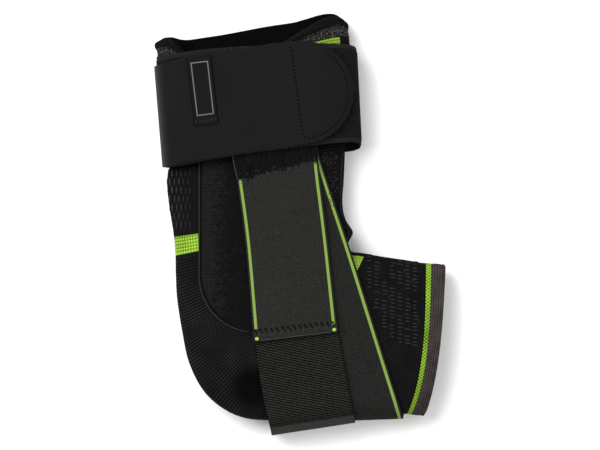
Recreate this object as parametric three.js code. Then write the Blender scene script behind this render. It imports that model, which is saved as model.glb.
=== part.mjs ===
// Ankle support for a right foot, lying on its inner side with the outer side up.
// Millimetres. +X points to the toes, +Y up the leg and +Z up from the surface it lies on.
import * as THREE from 'three';

// Knit tube
const calfHeight = 225; // sole line to the front of the calf rim
const instepHeight = 100; // sole line to the bend between shin and instep
const legWidth = 100; // flat width of the tube at the ankle
const heelReach = 48; // leg axis to the back of the heel
const footReach = 110; // leg axis to the toe edge
const tubeDepth = 32; // height of the lying tube at the heel
const knitWall = 2.4;
const toeBow = 4; // how far the toe edge bulges between instep and sole
const lipRise = 12; // how far the far lip of the calf opening stands above its corners

// Hems of the two openings
const calfCuffWidth = 7.5;
const calfCuffWall = 3.4;
const calfStripeWidth = 2.6;
const toeCuffWidth = 7;
const toeCuffWall = 2.6;
const toeStripeWidth = 3.4;

// Straps
const strapWidth = 50;
const strapThickness = 1.3;
const pileThickness = 1;
const panelWidth = 65;
const panelThickness = 1;
const ringThickness = 1.6;
const bandWidth = 60;
const closingThickness = 2;
const hookThickness = 1;
const labelWidth = 14;
const labelLength = 39;
const labelThickness = 0.5;
const labelBack = 63; // middle of the band's round end to the label's front corner, along the band
const labelUp = 29.4; // and across the band
const anchorLength = 36; // webbing and cross strap on the far side, from fold to sewn end
const soleReach = 13; // plan depth of a strap's turn round the sole
const closingReach = 20; // plan depth of the closing strap's turn round the back of the leg
const webbingDrops = [7.8, 4.5]; // webbing fold below the sole line, at its heel and toe edges
const crossDrops = [2.4, 2.2]; // and the same for the cross strap
const closingOverhang = 6; // how far the closing strap may reach past the edges of the ring
const closingSlack = 0.6; // extra room between the ring and the fold of the closing strap
const closingLength = 100; // closing strap on the far side, from its fold to its sewn end
const closingShifts = [-2.7, -0.5]; // its fold's upper and lower end, up from the ring's corners
const tabInset = 3; // edge of the closing strap to the edge of the hook tab under its end

const dentRadius = 13; // dent in the outer side of the heel
const dentDepth = 4;

const gap = 0.35; // clearance between layers
const bandStack = closingThickness + ringThickness + 2 * gap; // layers of the band under the tube
const soleStack = 2 * strapThickness + 3 * gap; // straps under the foot

// Roundness of a section: 2 is an ellipse, and more is squarer
const nearSquareness = 2.5;
const farSquareness = 3.4;
const ringSquareness = 4.5;
const closingSquareness = 3;

const rad = THREE.MathUtils.degToRad;
const lerp = THREE.MathUtils.lerp;
const flat = (x, y) => new THREE.Vector2(x, y);
const lift = (p, z) => new THREE.Vector3(p.x, p.y, z);
const between = (a, b, share) => a.clone().lerp(b, share);

// Places on the tube, as shares of its driving sizes
const leg = (across, up) => flat(across * legWidth / 2, instepHeight + up * (calfHeight - instepHeight));
const heel = (back, up) => flat(-back * heelReach, up * instepHeight);
const sole = (along, up) => flat(along * footReach, up * instepHeight);
const instep = (along, up) => flat(lerp(legWidth / 2, footReach, along), up * instepHeight);

// Sections of the tube from the calf rim to the toe edge. front and back are the ends of a section in
// plan; bow, depth, onBand and onStraps are shares of toeBow, tubeDepth, bandStack and soleStack.
const sections = [
  { front: leg(1.09, 0.996), back: leg(-1.16, 0.935), bow: 0, depth: 0.74, onBand: 0.7, onStraps: 0 },
  { front: leg(1.088, 0.944), back: leg(-1.068, 0.868), bow: 0, depth: 0.66, onBand: 1, onStraps: 0 },
  { front: leg(1.078, 0.856), back: leg(-1.056, 0.792), bow: 0, depth: 0.62, onBand: 1, onStraps: 0 },
  { front: leg(1.064, 0.688), back: leg(-1.012, 0.6), bow: 0, depth: 0.6, onBand: 1, onStraps: 0 },
  { front: leg(1.044, 0.52), back: leg(-0.972, 0.392), bow: 0, depth: 0.62, onBand: 1, onStraps: 0 },
  { front: leg(1.036, 0.432), back: leg(-1.018, 0.328), bow: 0, depth: 0.74, onBand: 1, onStraps: 0 },
  { front: leg(1.01, 0.234), back: leg(-0.986, 0.179), bow: 0, depth: 0.86, onBand: 0.45, onStraps: 0 },
  { front: leg(1.04, 0.134), back: leg(-0.93, 0.024), bow: 0, depth: 0.92, onBand: 0, onStraps: 0 },
  { front: leg(1.126, 0.072), back: heel(0.954, 0.84), bow: 0, depth: 0.96, onBand: 0, onStraps: 0 },
  { front: leg(1.072, 0.016), back: heel(0.896, 0.56), bow: 0, depth: 1, onBand: 0, onStraps: 0 },
  { front: leg(1.084, -0.002), back: heel(0.75, 0.29), bow: 0, depth: 1, onBand: 0, onStraps: 0.4 },
  { front: instep(0.125, 0.977), back: heel(0.398, 0.075), bow: 0, depth: 0.96, onBand: 0, onStraps: 1 },
  { front: instep(0.233, 0.97), back: sole(0.068, 0.003), bow: 0.1, depth: 0.9, onBand: 0, onStraps: 1 },
  { front: instep(0.403, 0.951), back: sole(0.354, 0.023), bow: 0.35, depth: 0.84, onBand: 0, onStraps: 1 },
  { front: instep(0.617, 0.93), back: sole(0.609, 0.033), bow: 0.75, depth: 0.79, onBand: 0, onStraps: 1 },
  { front: instep(0.825, 0.914), back: sole(0.802, 0.038), bow: 1, depth: 0.75, onBand: 0, onStraps: 1 },
  { front: instep(0.99, 0.88), back: sole(0.885, 0.029), bow: 1, depth: 0.73, onBand: 0, onStraps: 0.3 },
];
const toeEnd = sections.length - 1;

// The calf rim across the tube, from back (0) to front (1): rise of each lip as a share of lipRise
const lips = [
  { across: 0, far: 0, near: 0 },
  { across: 0.05, far: 0.5, near: 0.42 },
  { across: 0.1, far: 0.42, near: 0 },
  { across: 0.16, far: 0.38, near: -0.65 },
  { across: 0.35, far: 0.5, near: -0.82 },
  { across: 0.55, far: 0.7, near: -0.65 },
  { across: 0.7, far: 0.82, near: -0.05 },
  { across: 0.85, far: 1, near: 0.5 },
  { across: 0.93, far: 1.05, near: 0.8 },
  { across: 0.98, far: 0.62, near: 0.6 },
  { across: 1, far: 0, near: 0 },
];
const lipFade = 2; // sections over which the lips fade into the tube

const dentCentre = heel(0.03, 0.19);

// Calf ring at its lower and upper edge; bowNear and bowFar are shares of ringBow
const ringBow = 5.4;
const ringEdges = [
  { front: leg(1.198, 0.486), back: leg(-1.03, 0.373), bowNear: 0.55, bowFar: -0.4 },
  { front: leg(1.152, 0.922), back: leg(-1.123, 0.864), bowNear: 1, bowFar: 0 },
];
const bandTilt = rad(9); // rise of the closing strap towards the front
const tipCentre = leg(0.546, 0.722); // centre of the closing strap's round end

// Middle lines of the straps on the outer side, down to where their folds begin
const sideLine = [leg(0.23, 0.504), leg(0.37, 0.028), sole(0.217, 0.49)];
const webbingLine = [sole(0.213, 0.5), sole(0.243, 0.325)];
const crossLine = [leg(0.214, 0.486), leg(0.57, -0.17)];
// Where the two edges of a strap turn round the sole, as shares along the foot
const webbingFold = [0.1, 0.533];
const crossFold = [0.315, 0.78];

// One smooth value through a list of values, at a place counted in list steps
function smooth(values, place) {
  const i = Math.min(Math.max(Math.floor(place), 0), values.length - 2);
  const f = place - i;
  const b = values[i];
  const c = values[i + 1];
  const a = i > 0 ? values[i - 1] : 2 * b - c;
  const d = i + 2 < values.length ? values[i + 2] : 2 * c - b;
  return b + 0.5 * f * (c - a + f * (2 * a - 5 * b + 4 * c - d + f * (3 * (b - c) + d - a)));
}

const smoothPoint = (points, place) =>
  flat(smooth(points.map((p) => p.x), place), smooth(points.map((p) => p.y), place));

// A straight-line reading of a table column at a share across the tube
function readAcross(table, column, across) {
  const i = Math.max(1, table.findIndex((row) => row.across >= across));
  const low = table[i - 1];
  const high = table[i];
  const f = (across - low.across) / (high.across - low.across);
  return lerp(low[column], high[column], THREE.MathUtils.smoothstep(f, 0, 1));
}

// The tube's section at a place counted in table rows
function sectionAt(place) {
  const column = (read) => smooth(sections.map(read), place);
  const low = column((s) => s.onBand) * bandStack + column((s) => s.onStraps) * soleStack;
  return {
    front: smoothPoint(sections.map((s) => s.front), place),
    back: smoothPoint(sections.map((s) => s.back), place),
    bow: column((s) => s.bow) * toeBow,
    low: Math.max(low, 0),
    high: Math.max(low, 0) + column((s) => s.depth) * tubeDepth,
  };
}

// A point of a closed section: turn 0 is its front end, a quarter turn its near side
function loopPoint(section, turn, inset, squareNear, squareFar, bowAt) {
  const c = Math.cos(turn);
  const s = Math.sin(turn);
  const power = 2 / (s >= 0 ? squareNear : squareFar);
  const span = section.front.clone().sub(section.back);
  const e = span.clone().normalize();
  const up = flat(-e.y, e.x);
  const x = Math.sign(c) * Math.abs(c) ** power;
  const halfDepth = (section.high - section.low) / 2;
  const p = between(section.back, section.front, 0.5).addScaledVector(e, x * (span.length() / 2 - inset));
  p.addScaledVector(up, bowAt((x + 1) / 2, s));
  return lift(p, section.low + halfDepth + (halfDepth - inset) * Math.sign(s) * Math.abs(s) ** power);
}

function tubePoint(place, turn, inset) {
  const section = sectionAt(place);
  const fade = Math.max(0, 1 - place / lipFade) ** 2;
  const bowAt = (across, side) =>
    fade * lipRise * readAcross(lips, side >= 0 ? 'near' : 'far', across)
    - section.bow * Math.sin(Math.PI * across);
  const p = loopPoint(section, turn, inset, nearSquareness, farSquareness, bowAt);
  if (Math.sin(turn) > 0) {
    const away = (p.x - dentCentre.x) ** 2 + (p.y - dentCentre.y) ** 2;
    p.z -= dentDepth * Math.exp(-away / dentRadius ** 2);
  }
  return p;
}

// The place that lies a distance along the tube's middle line from another place
function advance(place, distance) {
  const step = Math.sign(distance) * 0.01;
  const middle = (at) => {
    const s = sectionAt(at);
    return between(s.back, s.front, 0.5);
  };
  let at = place;
  let here = middle(at);
  for (let gone = 0; gone < Math.abs(distance); ) {
    at += step;
    const next = middle(at);
    gone += next.distanceTo(here);
    here = next;
  }
  return at;
}

// A closed geometry from vertices and quads, turned so that its faces point out
function closedGeometry(vertices, quads) {
  const triangles = quads.flatMap(([a, b, c, d]) => [a, b, c, a, c, d]);
  let volume = 0;
  for (let i = 0; i < triangles.length; i += 3) {
    const [a, b, c] = [0, 1, 2].map((k) => vertices[triangles[i + k]]);
    volume += a.dot(b.clone().cross(c));
  }
  const geometry = new THREE.BufferGeometry().setFromPoints(vertices);
  geometry.setIndex(volume < 0 ? triangles.reverse() : triangles);
  geometry.computeVertexNormals();
  return geometry;
}

// A wall between an outer and an inner grid of closed loops
function wallGeometry(outer, inner) {
  const rows = outer.length;
  const n = outer[0].length;
  const at = (side, i, j) => (side * rows + i) * n + (j % n);
  const quads = [];
  for (let j = 0; j < n; j++) {
    for (let i = 0; i < rows - 1; i++) {
      quads.push([at(0, i, j), at(0, i + 1, j), at(0, i + 1, j + 1), at(0, i, j + 1)]);
      quads.push([at(1, i, j), at(1, i, j + 1), at(1, i + 1, j + 1), at(1, i + 1, j)]);
    }
    quads.push([at(0, 0, j), at(0, 0, j + 1), at(1, 0, j + 1), at(1, 0, j)]);
    quads.push([at(0, rows - 1, j), at(1, rows - 1, j), at(1, rows - 1, j + 1), at(0, rows - 1, j + 1)]);
  }
  return closedGeometry([...outer.flat(), ...inner.flat()], quads);
}

// A sheet of even thickness round a grid of points of its middle surface
function sheetGeometry(grid, thickness) {
  const rows = grid.length;
  const n = grid[0].length;
  const pick = (i, j) => grid[Math.min(Math.max(i, 0), rows - 1)][Math.min(Math.max(j, 0), n - 1)];
  const offset = (side) => grid.flatMap((row, i) => row.map((p, j) => {
    const along = pick(i + 1, j).clone().sub(pick(i - 1, j));
    const across = pick(i, j + 1).clone().sub(pick(i, j - 1));
    return p.clone().addScaledVector(along.cross(across).normalize(), side * thickness / 2);
  }));
  const at = (side, i, j) => (side * rows + i) * n + j;
  const quads = [];
  for (let i = 0; i < rows - 1; i++) {
    for (let j = 0; j < n - 1; j++) {
      quads.push([at(0, i, j), at(0, i + 1, j), at(0, i + 1, j + 1), at(0, i, j + 1)]);
      quads.push([at(1, i, j), at(1, i, j + 1), at(1, i + 1, j + 1), at(1, i + 1, j)]);
    }
    quads.push([at(0, i, 0), at(1, i, 0), at(1, i + 1, 0), at(0, i + 1, 0)]);
    quads.push([at(0, i, n - 1), at(0, i + 1, n - 1), at(1, i + 1, n - 1), at(1, i, n - 1)]);
  }
  for (let j = 0; j < n - 1; j++) {
    quads.push([at(0, 0, j), at(0, 0, j + 1), at(1, 0, j + 1), at(1, 0, j)]);
    quads.push([at(0, rows - 1, j), at(1, rows - 1, j), at(1, rows - 1, j + 1), at(0, rows - 1, j + 1)]);
  }
  return closedGeometry([...offset(1), ...offset(-1)], quads);
}

// The highest surface of all that has been laid so far, kept on a grid of one-millimetre cells
const cells = 1000; // cells in a row, more than the part is wide
const relief = {
  tops: new Map(),
  key: (x, y) => x * cells + y,
  lay(geometry) {
    const p = geometry.getAttribute('position');
    const index = geometry.getIndex();
    const [a, b, c, q] = [0, 1, 2, 3].map(() => new THREE.Vector3());
    for (let i = 0; i < index.count; i += 3) {
      [a, b, c].forEach((v, k) => v.fromBufferAttribute(p, index.getX(i + k)));
      const area = (b.x - a.x) * (c.y - a.y) - (c.x - a.x) * (b.y - a.y);
      if (Math.abs(area) < 1e-6) continue;
      for (let x = Math.ceil(Math.min(a.x, b.x, c.x)); x <= Math.max(a.x, b.x, c.x); x++) {
        for (let y = Math.ceil(Math.min(a.y, b.y, c.y)); y <= Math.max(a.y, b.y, c.y); y++) {
          const u = ((x - a.x) * (c.y - a.y) - (c.x - a.x) * (y - a.y)) / area;
          const v = ((b.x - a.x) * (y - a.y) - (x - a.x) * (b.y - a.y)) / area;
          if (u < 0 || v < 0 || u + v > 1) continue;
          q.z = a.z + u * (b.z - a.z) + v * (c.z - a.z);
          this.tops.set(this.key(x, y), Math.max(this.tops.get(this.key(x, y)) ?? -Infinity, q.z));
        }
      }
    }
  },
  top(p, reach) {
    let best = -Infinity;
    for (let x = Math.ceil(p.x - reach); x <= p.x + reach; x++) {
      for (let y = Math.ceil(p.y - reach); y <= p.y + reach; y++) {
        best = Math.max(best, this.tops.get(this.key(x, y)) ?? -Infinity);
      }
    }
    return best;
  },
};

// Heights along one thread of a strap, pulled straight over what lies below it
function taut(places, heights) {
  const hull = [];
  const turn = (a, b, c) =>
    (places[b] - places[a]) * (heights[c] - heights[a])
    - (heights[b] - heights[a]) * (places[c] - places[a]);
  heights.forEach((height, i) => {
    if (height === -Infinity) return;
    while (hull.length > 1 && turn(hull.at(-2), hull.at(-1), i) >= 0) hull.pop();
    hull.push(i);
  });
  return places.map((place, i) => {
    if (i <= hull[0]) return heights[hull[0]];
    if (i >= hull.at(-1)) return heights[hull.at(-1)];
    const k = hull.findIndex((h) => h >= i);
    const [a, b] = [hull[k - 1], hull[k]];
    return lerp(heights[a], heights[b], (place - places[a]) / (places[b] - places[a]));
  });
}

// Lays rows of plan points on the relief: pulled straight along the strap, then eased off what still
// shows through. reach is how far round a point the relief counts, more where a piece overhangs an edge.
function drape(rows, thickness, reach = 1) {
  const heights = rows.map((row) => row.map((p) => relief.top(p, reach)));
  for (let j = 0; j < rows[0].length; j++) {
    const places = [0];
    for (let i = 1; i < rows.length; i++) {
      places.push(places[i - 1] + rows[i][j].distanceTo(rows[i - 1][j]));
    }
    taut(places, heights.map((row) => row[j])).forEach((z, i) => {
      heights[i][j] = z;
    });
  }
  for (let pass = 0; pass < 4; pass++) {
    for (let i = 1; i < rows.length; i++) {
      for (let j = 1; j < rows[0].length; j++) easeCell(rows, heights, i, j);
    }
  }
  return rows.map((row, i) => row.map((p, j) => lift(p, heights[i][j] + gap + thickness / 2)));
}

// Raises the corners of one cell of a laid grid, the nearest most, until the relief is under it
function easeCell(rows, heights, i, j) {
  const corners = [[i - 1, j - 1], [i - 1, j], [i, j - 1], [i, j]];
  const shares = [0, 0.25, 0.5, 0.75, 1];
  for (const u of shares) {
    for (const v of shares) {
      const weights = [(1 - u) * (1 - v), (1 - u) * v, u * (1 - v), u * v];
      const p = flat(0, 0);
      let z = 0;
      corners.forEach(([a, b], k) => {
        p.addScaledVector(rows[a][b], weights[k]);
        z += weights[k] * heights[a][b];
      });
      const lack = relief.top(p, 1) - z;
      if (lack <= 0) continue;
      const total = weights.reduce((sum, w) => sum + w * w, 0);
      corners.forEach(([a, b], k) => {
        heights[a][b] += lack * weights[k] / total;
      });
    }
  }
}

const rowBetween = (left, right, columns) =>
  Array.from({ length: columns + 1 }, (_, j) => between(left, right, j / columns));

// The two edges of a strap of one width along a middle line
function edgesOf(line, width) {
  const side = (sign) => line.map((p, i) => {
    const along = line[Math.min(i + 1, line.length - 1)].clone().sub(line[Math.max(i - 1, 0)]).normalize();
    return p.clone().addScaledVector(flat(-along.y, along.x), sign * width / 2);
  });
  return { left: side(-1), right: side(1) };
}

const rowsAlong = ({ left, right }, steps, columns) => Array.from({ length: steps + 1 }, (_, i) => {
  const place = (left.length - 1) * i / steps;
  return rowBetween(smoothPoint(left, place), smoothPoint(right, place), columns);
});

// Where a straight edge that runs to a fold reaches the start of the turn
function turnStart(from, foldPoint, inward, reach) {
  const back = from.clone().sub(foldPoint);
  return foldPoint.clone().addScaledVector(back, reach / back.dot(inward));
}

// Drapes rows that run to a fold, turns them round it and runs them on flat along the far side
function foldOver({ rows, overhang, fold, squareness, thickness, farZ, farLength, turnSteps, farSteps }) {
  const near = drape(rows, thickness, overhang);
  const line = fold.right.clone().sub(fold.left).normalize();
  const across = flat(-line.y, line.x);
  const last = near.at(-1);
  const turned = [];
  const run = [];
  const ways = last.map((p, j) => {
    const edge = between(fold.left, fold.right, j / (last.length - 1));
    const back = flat(p.x - edge.x, p.y - edge.y);
    return { edge, back, onward: across.clone().multiplyScalar(2 * back.dot(across)).sub(back) };
  });
  for (let i = 1; i <= turnSteps; i++) {
    const angle = Math.PI * (0.5 - i / turnSteps);
    const swing = Math.sign(angle) * Math.abs(Math.sin(angle)) ** (2 / squareness);
    const depth = 1 - Math.cos(angle) ** (2 / squareness);
    turned.push(ways.map(({ edge, back, onward }, j) => {
      const way = angle > 0 ? back : onward;
      const z = (last[j].z + farZ) / 2 + (last[j].z - farZ) / 2 * swing;
      return lift(edge.clone().addScaledVector(way, depth), z);
    }));
  }
  const runLength = farLength - ways[0].back.length();
  for (let i = 1; i <= farSteps; i++) {
    run.push(turned.at(-1).map((p, j) =>
      p.clone().add(lift(ways[j].onward.clone().setLength(runLength * i / farSteps), 0))));
  }
  return [...near, ...turned, ...run];
}

const group = new THREE.Group();

// Names a solid, gives it its finish and lets the next layers lie on it
function addPiece(name, geometry, color, roughness) {
  const mesh = new THREE.Mesh(geometry, new THREE.MeshStandardMaterial({ color, roughness, metalness: 0 }));
  mesh.name = name;
  group.add(mesh);
  relief.lay(geometry);
}

// Tube pieces

function tubePiece(from, to, steps, around, wallAt) {
  const outer = [];
  const inner = [];
  for (let i = 0; i <= steps; i++) {
    const place = lerp(from, to, i / steps);
    const wall = wallAt(i / steps);
    const ring = (inset) => Array.from({ length: around }, (_, j) =>
      tubePoint(place, 2 * Math.PI * j / around, inset));
    outer.push(ring(knitWall - wall));
    inner.push(ring(knitWall));
  }
  return wallGeometry(outer, inner);
}

const aroundTube = 36;
const even = (wall) => () => wall;
// A wall that is thin at the edge and full from four tenths of its width on
const rounded = (full, thin) => (share) =>
  lerp(thin, full, Math.sqrt(Math.sin(Math.PI * Math.min(share * 1.25, 0.5))));

function buildTube() {
  const calfStripeTop = advance(0, calfCuffWidth + gap);
  const sleeveTop = advance(calfStripeTop, calfStripeWidth + gap);
  const toeCuffStart = advance(toeEnd, -toeCuffWidth);
  const toeStripeEnd = advance(toeCuffStart, -gap);
  const sleeveEnd = advance(toeStripeEnd, -toeStripeWidth - gap);
  const calfCuffEnd = advance(0, calfCuffWidth);
  const calfStripeEnd = advance(calfStripeTop, calfStripeWidth);
  const toeStripeStart = advance(toeStripeEnd, -toeStripeWidth);
  const calfWall = rounded(calfCuffWall, knitWall * 0.6);
  const toeWall = rounded(toeCuffWall, knitWall * 0.6);
  const flatWall = even(knitWall);
  addPiece('knit_sleeve', tubePiece(sleeveTop, sleeveEnd, 30, aroundTube, flatWall), '#1d1d1e', 0.95);
  addPiece('calf_cuff', tubePiece(0, calfCuffEnd, 5, aroundTube, calfWall), '#2b2a29', 0.95);
  addPiece('calf_stripe', tubePiece(calfStripeTop, calfStripeEnd, 1, aroundTube, flatWall), '#8fc31f', 0.9);
  addPiece('toe_stripe', tubePiece(toeStripeStart, toeStripeEnd, 1, aroundTube, flatWall), '#8fc31f', 0.9);
  addPiece('toe_cuff', tubePiece(toeEnd, toeCuffStart, 4, aroundTube, toeWall), '#45413f', 0.95);
}

// Outer side patch: straight sides and a round lower end
function buildPanel() {
  const half = panelWidth / 2;
  const top = leg(0, 0.5).y;
  const roundStart = heel(0, 0.51).y + half;
  const sides = [0, 0.2, 0.4, 0.6, 0.8, 1].map((f) => ({ y: lerp(top, roundStart, f), reach: half }));
  const end = [20, 38, 54, 68, 79].map(rad).map((a) => (
    { y: roundStart - half * Math.sin(a), reach: half * Math.cos(a) }));
  const rows = [...sides, ...end].map(({ y, reach }) => rowBetween(flat(-reach, y), flat(reach, y), 10));
  addPiece('ankle_panel', sheetGeometry(drape(rows, panelThickness), panelThickness), '#191919', 0.98);
}

// The tube's sole line at a place along the foot
function soleHeight(x) {
  for (let place = 10; place < toeEnd; place += 0.02) {
    const back = sectionAt(place).back;
    if (back.x >= x) return back.y;
  }
  return sectionAt(toeEnd).back.y;
}

// A strap from the outer side round the sole and a short way up the far side
function soleStrap(name, { line, folds, drops, farZ, nearSteps, color }) {
  const [left, right] = folds.map((share, i) => {
    const x = share * footReach;
    return flat(x, soleHeight(x) - drops[i]);
  });
  const along = right.clone().sub(left).normalize();
  const inward = flat(-along.y, along.x);
  const edges = edgesOf(line, strapWidth);
  edges.left.push(turnStart(edges.left.at(-1), left, inward, soleReach));
  edges.right.push(turnStart(edges.right.at(-1), right, inward, soleReach));
  const rows = rowsAlong(edges, nearSteps, 8);
  const folded = foldOver({
    rows,
    overhang: 1,
    fold: { left, right },
    squareness: 2,
    thickness: strapThickness,
    farZ,
    farLength: anchorLength,
    turnSteps: 8,
    farSteps: 3,
  });
  addPiece(name, sheetGeometry(folded, strapThickness), color, 0.85);
}

function buildStraps() {
  const webbingZ = strapThickness / 2;
  const crossZ = soleStack - gap - strapThickness / 2;
  soleStrap('cross_strap', {
    line: crossLine, folds: crossFold, drops: crossDrops, farZ: crossZ, nearSteps: 14, color: '#2a2a28',
  });
  soleStrap('sole_webbing', {
    line: webbingLine, folds: webbingFold, drops: webbingDrops, farZ: webbingZ, nearSteps: 6,
    color: '#262626',
  });
  const rows = drape(rowsAlong(edgesOf(sideLine, strapWidth), 12, 8), strapThickness);
  addPiece('side_strap', sheetGeometry(rows, strapThickness), '#2e2e2d', 0.8);
}

// Pile patch on the head of the side strap, cut off at a slant
function buildPile() {
  const { left, right } = edgesOf(sideLine, strapWidth - 2 * gap);
  const low = { left: 0.42, right: 0.19 }; // lower corners as shares of the way from head to bend
  const edges = {
    left: [left[0], between(left[0], left[1], low.left)],
    right: [right[0], between(right[0], right[1], low.right)],
  };
  const rows = drape(rowsAlong(edges, 3, 8), pileThickness);
  addPiece('side_strap_pile', sheetGeometry(rows, pileThickness), '#181818', 1);
}

// Inner ring of the calf band, lifted clear of everything under it
function buildRing() {
  const stations = 5;
  const around = 36;
  const low = closingThickness + gap;
  const [bottom, top] = ringEdges;
  const mix = (share) => ({
    front: between(bottom.front, top.front, share),
    back: between(bottom.back, top.back, share),
    bowNear: lerp(bottom.bowNear, top.bowNear, share) * ringBow,
    bowFar: lerp(bottom.bowFar, top.bowFar, share) * ringBow,
  });
  const edges = Array.from({ length: stations + 1 }, (_, i) => mix(i / stations));
  const reach = bandWidth / stations / 2;
  const tops = edges.map(({ front, back }) =>
    Math.max(...[0.1, 0.3, 0.5, 0.7, 0.9].map((f) => relief.top(between(back, front, f), reach))));
  const highs = taut(edges.map((_, i) => i), tops).map((top) => top + gap + ringThickness);
  const loops = (inset) => edges.map((edge, i) => {
    const section = { ...edge, low, high: highs[i] };
    const bowAt = (across, side) => (side >= 0 ? edge.bowNear : edge.bowFar) * Math.sin(Math.PI * across);
    return Array.from({ length: around }, (_, j) =>
      loopPoint(section, 2 * Math.PI * j / around, inset, ringSquareness, ringSquareness, bowAt));
  });
  addPiece('band_ring', wallGeometry(loops(0), loops(ringThickness)), '#1c1c1c', 1);
}

// Rows across the round end of the band, from its tip back to its centre
function roundEnd(radius, angles) {
  const along = flat(Math.cos(bandTilt), Math.sin(bandTilt));
  const across = flat(-along.y, along.x);
  return angles.map(rad).map((a) => {
    const middle = tipCentre.clone().addScaledVector(along, radius * Math.cos(a));
    const half = across.clone().multiplyScalar(radius * Math.sin(a));
    return { lower: middle.clone().sub(half), upper: middle.clone().add(half) };
  });
}

function buildClosing() {
  const tabRows = roundEnd(bandWidth / 2 - tabInset, [14, 34, 53, 72, 90])
    .map(({ lower, upper }) => rowBetween(lower, upper, 6));
  addPiece('hook_tab', sheetGeometry(drape(tabRows, hookThickness), hookThickness), '#141414', 1);

  const out = gap + closingSlack + closingThickness / 2;
  const fold = {
    left: ringEdges[1].back.clone().add(flat(-out, closingShifts[0])),
    right: ringEdges[0].back.clone().add(flat(-out, closingShifts[1])),
  };
  const line = fold.right.clone().sub(fold.left).normalize();
  const inward = flat(-line.y, line.x);
  const tip = roundEnd(bandWidth / 2, [10, 24, 40, 56, 73, 90]);
  const { lower, upper } = tip.at(-1);
  const stop = {
    lower: turnStart(lower, fold.right, inward, closingReach),
    upper: turnStart(upper, fold.left, inward, closingReach),
  };
  const straight = [0.2, 0.4, 0.6, 0.8, 1].map((f) => ({
    lower: between(lower, stop.lower, f), upper: between(upper, stop.upper, f),
  }));
  const rows = [...tip, ...straight].map((row) => rowBetween(row.upper, row.lower, 8));
  const folded = foldOver({
    rows,
    overhang: closingOverhang,
    fold,
    squareness: closingSquareness,
    thickness: closingThickness,
    farZ: closingThickness / 2,
    farLength: closingLength,
    turnSteps: 8,
    farSteps: 4,
  });
  addPiece('closing_strap', sheetGeometry(folded, closingThickness), '#212121', 0.9);
}

function buildLabel() {
  const along = flat(Math.cos(bandTilt), Math.sin(bandTilt));
  const down = flat(along.y, -along.x);
  const corner = tipCentre.clone().addScaledVector(along, -labelBack).addScaledVector(down, -labelUp);
  const rows = [0, 0.25, 0.5, 0.75, 1].map((f) => {
    const left = corner.clone().addScaledVector(down, f * labelLength);
    return rowBetween(left, left.clone().addScaledVector(along, labelWidth), 2);
  });
  addPiece('label', sheetGeometry(drape(rows, labelThickness), labelThickness), '#202020', 0.7);
}

buildTube();
buildPanel();
buildStraps();
buildPile();
buildRing();
buildClosing();
buildLabel();

// The origin is under the middle of the object, on the surface it lies on
const box = new THREE.Box3().setFromObject(group);
group.position.set(-(box.min.x + box.max.x) / 2, -(box.min.y + box.max.y) / 2, -box.min.z);

export default group;
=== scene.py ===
import math
import random

import bmesh
import bpy
import numpy as np
from mathutils import Matrix, Vector
from mathutils.bvhtree import BVHTree


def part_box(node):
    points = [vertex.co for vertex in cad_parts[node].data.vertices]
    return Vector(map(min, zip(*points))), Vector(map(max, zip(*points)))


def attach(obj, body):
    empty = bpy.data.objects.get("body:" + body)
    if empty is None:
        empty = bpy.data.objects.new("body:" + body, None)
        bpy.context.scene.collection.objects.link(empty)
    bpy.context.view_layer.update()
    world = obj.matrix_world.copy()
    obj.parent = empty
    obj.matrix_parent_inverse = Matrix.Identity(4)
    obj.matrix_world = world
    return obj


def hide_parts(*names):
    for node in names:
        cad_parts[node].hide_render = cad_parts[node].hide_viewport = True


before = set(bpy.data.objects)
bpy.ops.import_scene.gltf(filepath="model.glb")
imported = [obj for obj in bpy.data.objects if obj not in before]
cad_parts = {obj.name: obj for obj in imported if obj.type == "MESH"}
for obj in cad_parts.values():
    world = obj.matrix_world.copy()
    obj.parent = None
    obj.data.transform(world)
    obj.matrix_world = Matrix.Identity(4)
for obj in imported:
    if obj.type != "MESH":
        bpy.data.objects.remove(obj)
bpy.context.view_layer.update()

# Everything is drawn in millimetres on a plan: x from the leg's axis towards the toes, y up the leg
# from the sole line, z up from the table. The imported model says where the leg's axis lies.
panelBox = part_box("ankle_panel")
legAxis = (panelBox[0].x + panelBox[1].x) * 500
soleLine = -114.07  # y of the sole line in the shared frame
origin = np.array([legAxis, soleLine, 0.0])
gap = 0.3           # clearance between two layers
random.seed(7)


# Plan points in millimetres, turned into metres of the shared frame
def toRow(points):
    return (np.asarray(points, float) + origin) / 1000


# A smooth value through a list of values, at places counted in list steps
def smoothRead(values, place):
    values = np.asarray(values, float)
    last = len(values) - 2
    i = np.clip(np.floor(place).astype(int), 0, last)
    f = place - i
    b, c = values[i], values[i + 1]
    a = np.where(i > 0, values[np.maximum(i - 1, 0)], 2 * b - c)
    d = np.where(i < last, values[np.minimum(i + 2, last + 1)], 2 * c - b)
    return b + 0.5 * f * (c - a + f * (2 * a - 5 * b + 4 * c - d + f * (3 * (b - c) + d - a)))


# A column of a table, read at values of its first column
def readTable(table, column, at):
    return np.interp(at, [row[0] for row in table], [row[column] for row in table])


# The same, with the table's corners rounded off over a spread to each side
def readSoft(table, column, at, spread):
    shifts = np.linspace(-1, 1, 9)
    shares = 1 - np.abs(shifts) * 0.9
    shares = shares / np.sum(shares)
    return sum(share * readTable(table, column, at + shift * spread) for share, shift in zip(shares, shifts))


# Length of the way from the first point to each of the points
def lengthsAlong(points):
    return np.concatenate([[0], np.cumsum(np.linalg.norm(np.diff(points, axis=0), axis=1))])


# x and z, each from -1 to 1, of a flattened section at a turn: a higher square gives fuller corners
def sectionAt(turn, square):
    c, s = np.cos(turn), np.sin(turn)
    return np.sign(c) * np.abs(c) ** (2 / square), np.sign(s) * np.abs(s) ** (2 / square)


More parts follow.
